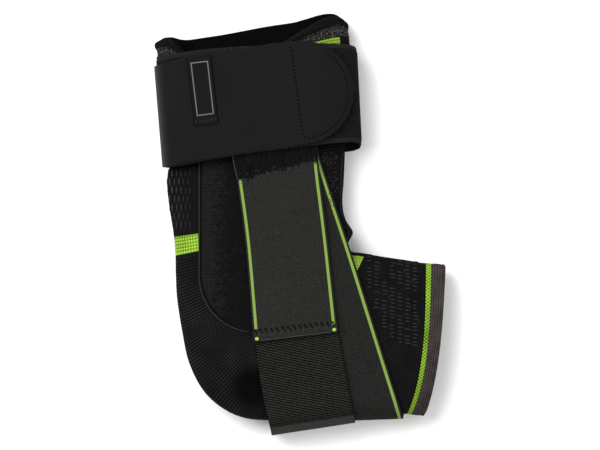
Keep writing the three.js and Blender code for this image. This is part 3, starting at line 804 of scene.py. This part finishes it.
# Ribbed panel knit: fine level ribs, crisp along the left edge and dying out across the panel
def makePanelKnit():
    material, tree, shader = newMaterial("ribbedPanelKnit", *knitShine)
    x, y = clothAxes(tree)
    left = toRow((-panel["half"], 0, 0))[0] * 1000
    ragged = worked(tree, mottle(tree, 420.0, 2.0), ("MULTIPLY", 34.0), ("SUBTRACT", 17.0), ("ADD", x))
    fade = ramp(tree, ragged, left + 4, left + 17, 0.9, 0.1)
    speck = ramp(tree, mottle(tree, 1300.0, 1.0), 0.6, 0.7, 0.0, 0.5)
    broken = worked(tree, wave(tree, y, 1.05), ("MULTIPLY", fade), ("ADD", speck))
    coat(tree, shader, layered(tree, broken, "#080808", "#212121"), broken, 0.2)
    return material


def panelHalf(y):
    low = np.sqrt(np.maximum(panel["half"] ** 2 - (panelRound - y) ** 2, 0.0))
    return np.where(y >= panelRound, panel["half"], low)


def buildPanel():
    rows, columns = 110, 64
    share = np.linspace(0, 1, rows + 1)
    depth = panel["top"] - panel["bottom"]
    y = panel["top"] - depth * (1 - (1 - share) ** 1.35) * 0.9985
    half = panelHalf(y)
    f = np.linspace(-1, 1, columns + 1)
    plan = np.stack([half[:, None] * f[None, :], np.repeat(y[:, None], columns + 1, 1)], -1)
    grid = drape(plan, panel["thickness"], 40, 0.5)
    piece = sheetOf("anklePanel", grid, 1.0, 1.0)
    # the panel's map is its place in the shared frame
    for loop, corner in zip(piece.data.uv_layers["cloth"].uv, piece.data.loops):
        point = piece.data.vertices[corner.vertex_index].co
        loop.vector = (point.x * 1000, point.y * 1000)
    thicken(piece, panel["thickness"])
    dress(piece, makePanelKnit(), "panel_knit", "ankle_panel")
    layDown(piece)
    # the welt round the panel's edge, and a black cord beside it that paints the welt's shadow
    side = np.linspace(panel["weltTop"], panelRound, 60)
    angles = np.linspace(0.03, math.pi - 0.03, 110)
    line = np.array(
        [(-panel["half"], y) for y in side]
        + [(-panel["half"] * math.cos(a), panelRound - panel["half"] * math.sin(a)) for a in angles]
        + [(panel["half"], y) for y in side[::-1]]
    )
    inner = line * [0.985, 1]
    z = evened(topHeights(inner), 6)
    welt = cordAlong("panelWelt", np.concatenate([inner, (z + 0.2)[:, None]], 1), 0.45)
    dress(welt, makeThread("weltThread", "#222222"), "panel_knit")
    groove = cordAlong("weltShadow", np.concatenate([line * [0.955, 1] + [0, 1.0], z[:, None]], 1), 0.55)
    dress(groove, makeThread("weltShadowThread", "#020202"), "panel_knit")


buildPanel()
print("panel done")


# The straps over the ankle: edges of their near runs, the lines they fold round the sole at, how far from
# that line the turn starts, and the height of the far run
crossStrap = {
    "left": [(-13.9, 157.2), (2.5, 103.5), (19.5, 47.8)],
    "right": [(35.4, 164.1), (39.6, 147.0), (55.6, 98.6), (71.9, 47.0)],
    "foldLeft": (34.8, -0.2),
    "foldRight": (86.2, 1.6),
    "farZ": 2.65,
    "thickness": 1.3,
    "reach": 13.0,
    "width": 50.0,
}
webbing = {
    "left": [(-0.6, 54.5), (1.4, 38.0), (4.2, 18.0)],
    "right": [(47.4, 60.0), (50.5, 41.2), (54.4, 19.0)],
    "foldLeft": (9.9, -8.2),
    "foldRight": (58.4, -0.8),
    "farZ": 0.65,
    "thickness": 1.3,
    "reach": 13.0,
    "width": 50.0,
}
ribs = {"pitch": 1.56, "slope": 0.36, "start": 0.2, "height": 0.6, "rows": 6, "plain": (59.5, 200.0)}
sideStrap = {
    "left": [(-13.3, 163.0), (-10.4, 141.0), (-5.2, 102.0), (-0.4, 45.9)],
    "right": [(36.0, 163.0), (37.4, 145.0), (42.3, 105.0), (48.1, 51.7)],
    "thickness": 1.3,
    "width": 50.0,
    "length": 117.0,
}
# Shares down the side strap at which the parts of its sewn hem lie
hemSeam = {"stitches": 15, "top": 0.947, "foot": 0.969, "swell": 0.974, "tufts": 0.987, "lip": 0.996}
sideElastic = makeStrapElastic("sideElastic", [(1.1, 2.8), (47.2, 48.9)], 109.8, "#121211", "#2b2b29")
crossElastic = makeStrapElastic("crossElastic", [(47.2, 48.9)], 400.0, "#0f0f0e", "#272726")


# Where a straight run to a fold point reaches the start of the turn
def turnStart(fromPoint, foldPoint, inward, reach):
    back = np.array(fromPoint) - np.array(foldPoint)
    return np.array(foldPoint) + back * reach / (back @ inward)


# Rows of points of a strap folded round the sole, and the length along it at each row
def soleStrap(spec, rows, columns, square=2.0, farLength=36.0, turnRows=24, farRows=12):
    inward = foldAxes(spec["foldLeft"], spec["foldRight"])[1]
    left = spec["left"] + [turnStart(spec["left"][-1], spec["foldLeft"], inward, spec["reach"])]
    right = spec["right"] + [turnStart(spec["right"][-1], spec["foldRight"], inward, spec["reach"])]
    near = drape(between(left, right, rows, columns), spec["thickness"])
    grid = foldOver(near, spec["foldLeft"], spec["foldRight"], square, spec["farZ"], farLength, turnRows,
                    farRows)
    return grid, lengthsAlong(grid[:, columns // 2])


# Sets v of the map to the real length along the strap
def mapAlong(piece, lengths):
    rows = len(lengths) - 1
    for loop in piece.data.uv_layers["cloth"].uv:
        loop.vector = (loop.vector.x, np.interp(loop.vector.y * rows, np.arange(rows + 1), lengths))


crossGrid, crossLengths = soleStrap(crossStrap, 110, 36)
cross = sheetOf("crossStrap", crossGrid, crossStrap["width"], 1.0)
mapAlong(cross, crossLengths)
thicken(cross, crossStrap["thickness"], 0.2)
dress(cross, crossElastic, "woven_strap", "cross_strap")
layDown(cross)
print("cross strap done")


# A grid read again at finer or coarser steps along one of its axes
def readAlong(grid, at, axis):
    low = np.floor(at).astype(int).clip(0, grid.shape[axis] - 2)
    f = (at - low)[:, None, None] if axis == 0 else (at - low)[None, :, None]
    return grid.take(low, axis) * (1 - f) + grid.take(low + 1, axis) * f


# The webbing's ribs are raised in the mesh: rows along it are much finer than the ribs
def buildWebbing():
    grid, lengths = soleStrap(webbing, 40, 30)
    rows = int(lengths[-1] / ribs["pitch"] * ribs["rows"])
    columns = 48
    at = np.interp(np.linspace(0, lengths[-1], rows + 1), lengths, np.arange(len(lengths)))
    fine = readAlong(grid, at, 0)
    fine = readAlong(fine, np.linspace(0, grid.shape[1] - 1, columns + 1), 1)
    normal = np.cross(np.gradient(fine, axis=1), np.gradient(fine, axis=0))
    normal /= np.linalg.norm(normal, axis=2)[..., None]
    normal *= np.sign(normal[0, columns // 2, 2])
    s = np.linspace(0, webbing["width"], columns + 1)[None, :]
    t = np.linspace(0, lengths[-1], rows + 1)[:, None]
    phase = (t - ribs["slope"] * s) / ribs["pitch"] + ribs["start"]
    height = ribs["height"] * (np.cos(np.pi * phase) ** 2 - 0.5)
    height = height * np.clip((ribs["plain"][0] - t) / 3.0, 0, 1)
    edge = np.minimum(s, webbing["width"] - s) / 1.2
    fine = fine + normal * (height * np.clip(edge, 0.2, 1))[..., None]
    piece = sheetOf("soleWebbing", fine, webbing["width"], float(lengths[-1]))
    thicken(piece, webbing["thickness"] - 0.3)
    dress(piece, makeRibbedElastic(ribs), "ribbed_elastic", "sole_webbing")
    layDown(piece)


buildWebbing()
print("webbing done")


def buildSideStrap():
    rows = 130
    plan = between(sideStrap["left"], sideStrap["right"], rows, 40)
    grid = drape(plan, sideStrap["thickness"])
    # the sewn hem stands up a little
    swell = np.clip((np.linspace(0, 1, rows + 1) - hemSeam["swell"]) / (1 - hemSeam["swell"]), 0, 1)
    grid[..., 2] += (0.9 * np.sin(np.pi * np.clip(swell, 0, 0.85)))[:, None]
    piece = sheetOf("sideStrap", grid, sideStrap["width"], sideStrap["length"])
    thicken(piece, sideStrap["thickness"], 0.2)
    dress(piece, sideElastic, "woven_strap", "side_strap")
    layDown(piece)
    # hem stitches: slanting black threads in a row above the lip paint the shade of their furrows, with a
    # black pit above each painted as the shade of its hole, and a painted glint below each
    furrowShades, holeShades, glints = [], [], []
    for i in range(hemSeam["stitches"]):
        f = (i + 0.3) / hemSeam["stitches"]
        top = gridPoint(grid, hemSeam["top"] + random.uniform(-0.003, 0.003), f)
        foot = gridPoint(grid, hemSeam["foot"] + random.uniform(-0.004, 0.004),
                         f + random.uniform(0.02, 0.05))
        furrowShades.append((top + [0, 0, 0.5], foot + [0, 0, 0.5]))
        holeShades.append((top + [-0.7, 0.1, 0.45], top + [0.7, 0.0, 0.45]))
        glints.append((foot + [0.1, 0, 0.62], foot + [0.9, 0.1, 0.62]))
    hem = [
        sew("hemFurrowShade", furrowShades, 0.42, "furrowShadeThread", "#030303", "woven_strap"),
        sew("hemPitShade", holeShades, 0.78, "pitShadeThread", "#020202", "woven_strap"),
        sew("hemGlints", glints, 0.25, "hemGlintThread", "#454541", "woven_strap"),
    ]
    # painted highlight: a pale cord along the lower edge of the hem's lip
    rim = np.array([gridPoint(grid, hemSeam["lip"], f) for f in np.linspace(0.07, 0.93, 70)])
    hem.append(cordAlong("hemLipHighlight", rim + [0, 0, 0.35], 0.42))
    dress(hem[-1], makeThread("lipHighlightThread", "#3a3a37"), "woven_strap")
    # the ends of the two lime lines, below the stitches
    ends = [gridPoint(grid, hemSeam["tufts"], f) for f in (0.04, 0.962)]
    tufts = [(end + [-1.2, -0.1, 0.5], end + [1.2, 0.1, 0.5]) for end in ends]
    hem.append(sew("hemTufts", tufts, 1.1, "limeThread", "#8fb845", "woven_strap", 10))


buildSideStrap()
print("side strap done")


# The pile patch on the head of the side strap
pile = {
    "left": [(-13.6, 163.0), (-12.3, 150.0), (-10.0, 139.4)],
    "right": [(35.8, 163.0), (36.2, 157.0), (36.6, 151.6)],
    "thickness": 1.0,
    "width": 50.0,
    "length": 24.0,
    "mapLength": 20.0,
    "frays": 150,
    "lint": 170,
}


def buildPile():
    rows, columns = 24, 60
    plan = between(pile["left"], pile["right"], rows, columns)
    # its cut lower edge is ragged
    f = np.linspace(0, 1, columns + 1)
    sag = 1.2 * np.sin(9.0 * f) * np.sin(23.0 * f + 1.0)
    plan[..., 1] += np.linspace(0, 1, rows + 1)[:, None] ** 3 * sag[None, :]
    grid = drape(plan, pile["thickness"], 60)
    piece = sheetOf("sideStrapPile", grid, pile["width"], pile["mapLength"])
    thicken(piece, pile["thickness"], 0.25)
    dress(piece, makePile(), "pile", "side_strap_pile")
    layDown(piece)
    # frayed loops along the lower edge, lint over them, and a light thread up the left edge
    frays = []
    for _ in range(pile["frays"]):
        u = random.uniform(0.01, 0.99)
        a = gridPoint(grid, random.uniform(0.9, 0.99), u) + [0, 0, random.uniform(0.1, 0.7)]
        b = a + [random.uniform(-0.9, 0.9), -random.uniform(0.8, 2.2), -random.uniform(0.0, 0.6)]
        frays.append((a, b))
    lint = []
    for _ in range(pile["lint"]):
        a = gridPoint(grid, random.uniform(0.86, 1.0), random.uniform(0.01, 0.99))
        a = a + [0, -random.uniform(0.0, 3.2), random.uniform(-0.2, 0.6)]
        lint.append((a, a + [random.uniform(-0.4, 1.3), random.uniform(0.1, 1.2), 0.1]))
    points = [gridPoint(grid, v, 0.004) for v in np.arange(0.4, 0.98, 0.055)]
    edging = [(point + [-0.1, 0.4, 0.4], point + [0.1, -0.4, 0.4]) for point in points]
    extras = [
        sew("pileFrays", frays, 0.2, "pileThread", "#101010", "pile", 4),
        sew("pileLint", lint, 0.13, "lintThread", "#454541", "pile", 4),
        sew("selvedgeLoops", edging, 0.34, "selvedgeThread", "#4d4d4b", "pile"),
    ]


buildPile()
print("pile done")


# The inner ring of the calf band
ring = {
    "bottomFront": (62.3, 159.7), "bottomBack": (-51.6, 146.6),
    "topFront": (59.5, 215.2), "topBack": (-57.4, 210.9),
    "thickness": 1.6, "low": 2.4, "square": 4.5, "round": 275.0, "height": 62.0,
    # size of its map, which runs once round and over both faces
    "mapRound": 262.0, "mapOver": 120.0,
    # share across from the back, and the rise of the near half's lower and upper edge and of the far
    # half's lower edge
    "bow": [(0.0, 0.0, 0.0, 0.0), (0.09, 0.3, 1.5, -1.2), (0.21, 2.0, 3.0, -2.2), (0.41, 3.3, 4.2, -2.6),
            (0.84, 3.9, 4.2, -2.8), (0.96, 3.1, 3.1, -2.6), (0.99, 1.8, 1.8, -1.6), (1.0, 0.6, 0.6, 0.0)],
}


# Points of the ring at a share up it and a turn around it; highs are the heights of its near half
def ringPoints(v, turn, out, highs):
    x, z = sectionAt(turn, ring["square"])
    share = v[:, None]
    front, back = [np.array(ring["bottom" + end]) * (1 - share) + np.array(ring["top" + end]) * share
                   for end in ("Front", "Back")]
    length, along, up = spanAxes(front, back)
    high = np.interp(v, np.linspace(0, 1, len(highs)), highs)
    low = ring["low"]
    across = (x + 1) / 2
    near = 0.8 * readTable(ring["bow"], 1, across) * (1 - v) + readTable(ring["bow"], 2, across) * v
    far = readTable(ring["bow"], 3, across) * (1 - v)
    bow = np.where(z >= 0, near, far) * np.clip(np.abs(z) * 2, 0, 1)
    half = (high - low) / 2
    plan = (front + back) / 2 + along * (x * (length / 2 + out))[:, None] + up * bow[:, None]
    return np.concatenate([plan, (low + half + (half + out) * z)[:, None]], 1)


def buildRing():
    highs = []
    for v in np.linspace(0, 1, 9):
        turn = np.linspace(0.12 * math.pi, 0.88 * math.pi, 25)
        points = ringPoints(np.full(25, v), turn, 0.0, [30.0])
        highs.append(topHeights(points[:, :2]).max() + gap + ring["thickness"])
    highs = settle(np.array(highs)[:, None], 200, 1.0)[:, 0]
    rows, edgeRows = 44, 2
    total = 2 * rows + 2 * edgeRows

    def layOut(u, v):
        share, depth = roundWall(v * total, rows, edgeRows)
        selvedge = np.clip((0.045 - np.minimum(share, 1 - share)) / 0.01, 0, 1)
        out = -depth * ring["thickness"] - 0.45 * selvedge * (depth < 0.5)
        return ringPoints(share, 2 * np.pi * u, out, highs)

    piece = clothGrid("bandRing", 180, total, layOut, ring["mapRound"], ring["mapOver"], solid=True)
    dress(piece, makeRingPile(), "pile", "band_ring")
    layDown(piece)


# The ring's face is loop pile between two plain woven selvedges
def makeRingPile():
    material, tree, shader = newMaterial("bandPile", *pileShine)
    u, v = clothAxes(tree)
    share = pileStreaks(tree, (1.5, 0.25, 1.0), 0.35, 0.7)
    fuzz = layered(tree, share, "#030303", "#1f1f1f")
    plain = layered(tree, wave(tree, u, 1.2), "#151515", "#1f1f1f")
    # the map runs over both faces: selvedges are at the ends of the outer face
    edges = anyOf(tree, [band(tree, v, -5.0, 2.6, 0.3), band(tree, v, 55.0, 66.0, 0.3)])
    coat(tree, shader, layered(tree, edges, fuzz, plain),
         worked(tree, share, ("MULTIPLY", outside(tree, edges))), 0.6)
    return material


buildRing()
print("ring done")


# The closing strap of the calf band, with its hook tab under a round tip
closing = {
    "tip": (27.3, 190.2), "radius": 29.8, "tilt": math.radians(9.1),
    "foldUpper": (-57.4, 205.4), "foldLower": (-52.6, 147.0),
    "reach": 18.0, "width": 60.0, "thickness": 2.0, "farLength": 100.0, "square": 2.8, "slant": 0.14,
    # y of the upper and lower edge at x, along the near side
    "upperEdge": [
        (-60, 207.8), (-52.8, 208.5), (-46.4, 209.4), (-37.7, 211.1), (-30.2, 212.6), (-20.3, 214.0),
        (-8.7, 215.2), (0, 216.6), (8.7, 218.4), (20.3, 220.1), (27, 220.6),
    ],
    "lowerEdge": [
        (-60, 146.0), (-53.4, 147.0), (-37.7, 150.2), (-14.5, 153.7), (4.1, 156.6), (14.5, 157.8),
        (30, 160.4),
    ],
}
hookTab = {
    "width": 54.4, "length": 27.2, "mapWidth": 54.0, "mapLength": 27.0, "thickness": 1.0, "inset": 2.6,
    # its seam: a line across the strap, an arc round the tip, and the pitch of the stitches
    "seam": [(20.8, 217.0), (22.0, 209.0), (23.0, 202.4), (24.8, 189.1), (27.3, 168.8), (29.6, 163.6)],
    "seamRadius": 26.8, "stitch": 2.2,
}


# Level rows across the round tip, from its end inwards
def tipRows(radius, angles):
    along = np.array([math.cos(closing["tilt"]), math.sin(closing["tilt"])])
    across = np.array([-along[1], along[0]])
    rows = []
    for a in angles:
        middle = np.array(closing["tip"]) + along * radius * math.cos(a)
        half = across * radius * math.sin(a)
        rows.append((middle + half, middle - half))
    return rows


def rowsToPlan(rows, columns):
    f = np.linspace(0, 1, columns + 1)[:, None]
    return np.array([upper * (1 - f) + lower * f for upper, lower in rows])


def buildHookTab():
    rows = tipRows(closing["radius"] - hookTab["inset"], np.linspace(0.06, math.pi / 2, 22))
    grid = drape(rowsToPlan(rows, 24), hookTab["thickness"], 60)
    piece = sheetOf("hookTab", grid, hookTab["mapWidth"], hookTab["mapLength"])
    thicken(piece, hookTab["thickness"], 0.2)
    dress(piece, makePlain("hookTape", "#040404", "#121212", 0.9, 0.3, 1.2), "hook_tape", "hook_tab")
    layDown(piece)


# Foam laminate with a smooth face, with a painted highlight as a paler band where it turns round the fold
def makeLaminate(foldAt):
    material, tree, shader = newMaterial("foamLaminate", 0.7, 0.05, 0.0)
    v = clothAxes(tree)[1]
    color = layered(tree, mottle(tree, 40.0), "#0e0e0e", "#131313")
    away = worked(tree, v, ("SUBTRACT", foldAt), ("ABSOLUTE", None))
    # painted highlight: a paler band round the fold
    near = ramp(tree, away, 22.0, 3.0, kind="SMOOTHERSTEP")
    coat(tree, shader, layered(tree, near, color, "#3a3a3a"), mottle(tree, 1500.0, 2.0), 0.02)
    return material


# A point of one edge of the closing strap between its tip and its fold: straight on from the tip at first
def closingEdge(f, end, foldX, table):
    x = end[0] * (1 - f) + (foldX + closing["reach"]) * f
    blend = min(1.0, f * 5)
    onward = end[1] + (x - end[0]) * 0.16
    return np.array([x, readTable(table, 1, x) * blend + onward * (1 - blend)])


def buildClosing():
    columns, steps, turnRows = 44, 64, 28
    tip = tipRows(closing["radius"], np.linspace(0.03, math.pi / 2, 34))
    upperEnd, lowerEnd = tip[-1]
    body = [(closingEdge(i / steps, upperEnd, closing["foldUpper"][0], closing["upperEdge"]),
             closingEdge(i / steps, lowerEnd, closing["foldLower"][0], closing["lowerEdge"]))
            for i in range(1, steps + 1)]
    near = drape(rowsToPlan(tip + body, columns), closing["thickness"], 260, 0.8)
    grid = foldOver(near, closing["foldUpper"], closing["foldLower"], closing["square"],
                    closing["thickness"] / 2, closing["farLength"], turnRows, 16, closing["slant"])
    lengths = lengthsAlong(grid[:, columns // 2])
    piece = sheetOf("closingStrap", grid, closing["width"], 1.0)
    mapAlong(piece, lengths)
    thicken(piece, closing["thickness"], 0.55)
    foldAt = float(lengths[len(near) + turnRows // 2])
    dress(piece, makeLaminate(foldAt), "band_laminate", "closing_strap")
    layDown(piece)
    return piece, float(lengths[-1])


buildHookTab()
closingStrap, closingLength = buildClosing()
print("closing strap done")


# Stitches along a line on the top of what is there: one at each pitch, as long as a share of it
def seamThreads(line, pitch, share, drop, start):
    line = np.asarray(line, float)
    lengths = lengthsAlong(line)
    pairs = []
    at = start
    while at + pitch * share < lengths[-1]:
        ends = []
        for place in (at, at + pitch * share):
            ends.append([np.interp(place, lengths, line[:, i]) for i in range(2)])
        heights = topHeights(np.array(ends))
        pairs.append(([*ends[0], heights[0] + drop], [*ends[1], heights[1] + drop]))
        at += pitch
    return pairs


# The seam of the hook tab, which shows on the closing strap
def buildSeams():
    radius, pitch = hookTab["seamRadius"], hookTab["stitch"]
    angles = np.linspace(math.radians(48), math.radians(-92), 44) + closing["tilt"]
    arc = [(closing["tip"][0] + radius * math.cos(angle), closing["tip"][1] + radius * math.sin(angle))
           for angle in angles]
    lines = (hookTab["seam"], arc)
    # painted shade: black pits in the stitch holes; the pale stitch tops carry painted glints
    holeShades = [pair for line in lines for pair in seamThreads(line, pitch, 0.62, 0.1, 0.0)]
    seam = sew("tipSeam", holeShades, 0.55, "seamHoleShadeThread", "#020202", "band_laminate")
    tops = [pair for line in lines for pair in seamThreads(line, pitch, 0.3, 0.3, 1.35)
            if random.random() < 0.7]
    glints = sew("tipSeamTops", tops, 0.2, "seamGlint", "#2a2a2a", "band_laminate")


buildSeams()


# The woven label on the closing strap
label = {
    "corners": [(-39.5, 210.3), (-25.3, 211.9), (-20.9, 172.5), (-34.6, 170.6)],
    "width": 14.0, "length": 39.5, "mapLength": 39.0, "thickness": 0.5,
}


def buildLabel():
    rows, columns = 40, 14
    v = np.linspace(0, 1, rows + 1)[:, None, None]
    u = np.linspace(0, 1, columns + 1)[None, :, None]
    a, b, c, d = [np.array(p) for p in label["corners"]]
    plan = (a * (1 - u) + b * u) * (1 - v) + (d * (1 - u) + c * u) * v
    grid = drape(plan, label["thickness"], 30)
    # its lower end is turned under
    hem = np.clip((np.linspace(0, 1, rows + 1) - 0.93) / 0.07, 0, 1)
    grid[..., 2] += (0.35 * np.sin(np.pi * np.clip(hem, 0, 0.8)))[:, None]
    piece = sheetOf("wovenLabel", grid, label["width"], label["mapLength"])
    thicken(piece, label["thickness"], 0.1)
    dress(piece, makeLabel(), "label_weave", "label")
    layDown(piece)
    low = [gridPoint(grid, 0.94, f) + [0, 0, 0.3] for f in np.linspace(0.04, 0.96, 12)]
    seam = sew("labelSeam", list(zip(low[::2], low[1::2])), 0.16, "labelThread", "#3a3a3a", "label_weave")


# Woven satin label: dark ground with a plain pale woven border, and its outermost half millimetre painted
# near black as the shadow at its edges
def makeLabel():
    material, tree, shader = newMaterial("satinLabel", 0.75, 0.05, 0.0)
    u, v = clothAxes(tree)
    weave = wave(tree, v, 0.8)
    # painted shadow along the label's long edges
    edgeShade = outside(tree, band(tree, u, 0.5, 13.5, 0.15))
    ground = layered(tree, edgeShade, layered(tree, weave, "#0a0c0a", "#121412"), "#030303")
    outer = patch(tree, u, v, (2.0, 12.0, 3.2, 33.6), 0.1)
    inner = patch(tree, u, v, (2.6, 11.4, 3.8, 33.0), 0.1)
    pale = layered(tree, weave, "#4a4a4a", "#6c6c6c")
    border = worked(tree, outer, ("SUBTRACT", inner))
    coat(tree, shader, layered(tree, border, ground, pale), weave, 0.03)
    return material


buildLabel()
print("label done")


# Whether a plan point is inside a closed outline
def inside(poly, x, y):
    hit = False
    for (x0, y0), (x1, y1) in zip(poly, poly[1:] + poly[:1]):
        if (y0 > y) != (y1 > y) and x < (x1 - x0) * (y - y0) / (y1 - y0) + x0:
            hit = not hit
    return hit


# Short threads lying on the top of what is there: each place is x, y and half the thread's way in x and y
def lyingPairs(places, sink):
    places = np.asarray(places, float)
    starts, ends = places[:, :2] - places[:, 2:], places[:, :2] + places[:, 2:]
    low, high = topHeights(starts), topHeights(ends)
    pairs = []
    for a, b, za, zb in zip(starts, ends, low, high):
        if min(za, zb) > 1.0 and abs(za - zb) < 3.0:
            pairs.append(((*a, za - sink), (*b, zb - sink)))
    return pairs


# The open knit: the leg has upright bars in staggered rows, and the foot has level ones in columns.
# Each starts at an x and y, with steps between columns and rows, and every second one is shifted.
legBars = {
    "columns": 7, "rows": 8, "x": -37.4, "y": 143.6, "stepX": -2.6, "stepY": -5.0, "shift": -1.3,
    "half": 2.25, "shadeHalf": 2.2, "shadeAside": 1.25, "lowest": 109.5,
}
footBars = {
    "columns": 7, "rows": 30, "x": 66.4, "y": 97.0, "stepX": 4.45, "stepY": -2.13, "shift": -1.1,
    "shadeHalf": 1.7, "shadeBelow": 0.9,
    "zones": [
        [(64.5, 98.0), (73.5, 98.0), (73.8, 82.0), (79.0, 79.0), (84.5, 74.5), (91.0, 71.5), (98.0, 66.0),
         (98.0, 43.0), (85.0, 43.5), (76.5, 52.0), (70.0, 66.0), (64.0, 84.0)],
        [(78.5, 93.8), (97.0, 93.6), (97.0, 74.5), (91.0, 74.5), (79.0, 82.5)],
    ],
}

# Flecks of yarn beside the front edge of the leg
frontFlecks = {"count": 95, "x": (39.0, 48.5), "y": (123.0, 158.0)}


# Returns the pieces of loops, and of black threads beside them that paint their shade
def buildLoops():
    rows = {"bright": [], "middle": [], "dim": [], "foot": [], "front": [], "castShade": []}
    for j in range(legBars["rows"]):
        for i in range(legBars["columns"]):
            x = legBars["x"] + legBars["stepX"] * i + legBars["shift"] * (j % 2) + random.uniform(-0.15, 0.15)
            y = legBars["y"] + legBars["stepY"] * j + random.uniform(-0.3, 0.3)
            if y < legBars["lowest"] + 0.06 * (x + 37):
                continue
            tone = "dim" if i < 2 else "middle" if i < 4 else "bright"
            rows[tone].append((x, y, 0.0, legBars["half"]))
            # painted shade: a black thread beside each bar
            rows["castShade"].append((x + legBars["shadeAside"], y, 0.0, legBars["shadeHalf"]))
    for i in range(footBars["columns"]):
        for j in range(footBars["rows"]):
            x = footBars["x"] + footBars["stepX"] * i + random.uniform(-0.3, 0.3)
            y = footBars["y"] + footBars["stepY"] * j + footBars["shift"] * (i % 2)
            y += random.uniform(-0.25, 0.25)
            if any(inside(zone, x, y) for zone in footBars["zones"]) and random.random() < 0.93:
                half = random.uniform(1.1, 1.8)
                rows["foot"].append((x, y, half, random.uniform(-0.4, -0.05)))
                # painted shade: a black thread below each bar
                rows["castShade"].append((x + 0.1, y - footBars["shadeBelow"], footBars["shadeHalf"], -0.2))
                if random.random() < 0.3:
                    rows["foot"].append((x + random.choice((-1.5, 1.5)), y - 0.6, 0.15, 0.5))
    for _ in range(frontFlecks["count"]):
        x, y = random.uniform(*frontFlecks["x"]), random.uniform(*frontFlecks["y"])
        if x > 38.5 + (frontFlecks["y"][1] - y) * 0.16:
            rows["front"].append((x, y, random.uniform(-0.5, 0.5), random.uniform(-0.7, 0.7)))
    print("bars of the open knit:", sum(len(row) for row in rows.values()))
    return [sew(name, lyingPairs(rows[tone], sink), radius, name + "Yarn", color, "black_knit")
            for name, tone, radius, sink, color in (
                ("edgeLoops", "bright", 0.5, 0.05, "#343435"),
                ("middleLoops", "middle", 0.45, 0.1, "#2a2a2b"),
                ("dimLoops", "dim", 0.4, 0.15, "#1f1f20"),
                ("footLoops", "foot", 0.3, 0.05, "#2e2e2f"),
                ("frontLoops", "front", 0.33, 0.1, "#303031"),
                ("knitShadeThreads", "castShade", 0.6, 0.35, "#060606"),
            )]


# Seam up the front of the leg and round the fold at the instep
def buildFrontSeam():
    points = np.array([
        (50.81, 157.76), (50.58, 151.38), (50.23, 142.68), (49.88, 133.98), (49.65, 125.28), (50.0, 120.64),
        (51.85, 116.87), (53.71, 113.39), (54.64, 110.2), (54.29, 107.01), (53.13, 104.69),
    ])
    places = np.linspace(0, len(points) - 1, 90)
    line = np.stack([smoothRead(points[:, i], places) for i in range(2)], -1)
    z = evened(topHeights(line), 8)
    piece = cordAlong("frontSeam", np.concatenate([line, z[:, None]], 1), 0.42)
    dress(piece, makeThread("frontSeamThread", "#1b1b1b"), "black_knit")
    return piece


knitPieces = [calfCuff, calfStripe, toeStripe, toeCuff, *buildLoops(), buildFrontSeam()]


# Plain pale floor, two soft lights, and the camera as it stood for the photo
def buildStudio():
    work = bmesh.new()
    bmesh.ops.create_grid(work, x_segments=1, y_segments=1, size=3.0)
    floor = finishPart("floor", work)
    material, _, shader = newMaterial("paleFloor", 0.9, 0.2, 0.0)
    shader.inputs["Base Color"].default_value = (0.9, 0.9, 0.9, 1)
    floor.data.materials.append(material)
    world = bpy.data.worlds.new("studio")
    bpy.context.scene.world = world
    world.use_nodes = True
    background = world.node_tree.nodes["Background"]
    background.inputs["Color"].default_value = (1, 1, 1, 1)
    background.inputs["Strength"].default_value = 0.62
    for name, place, size, power in (
        ("key", (-0.75, 0.65, 1.5), 1.2, 40.0),
        ("fill", (0.9, -0.5, 1.5), 1.4, 10.0),
    ):
        light = bpy.data.lights.new(name, "AREA")
        light.energy = power
        light.size = size
        lamp = bpy.data.objects.new(name, light)
        bpy.context.collection.objects.link(lamp)
        lamp.location = place
        lamp.rotation_euler = (Vector((0, 0, 0.02)) - Vector(place)).to_track_quat("-Z", "Y").to_euler()
    camera = bpy.data.objects.new("camera", bpy.data.cameras.new("camera"))
    bpy.context.collection.objects.link(camera)
    camera.data.lens = 608.3
    camera.location = (0.0012, -0.0006, 5.9)
    bpy.context.scene.camera = camera
    bpy.context.scene.view_settings.view_transform = "Standard"


buildStudio()
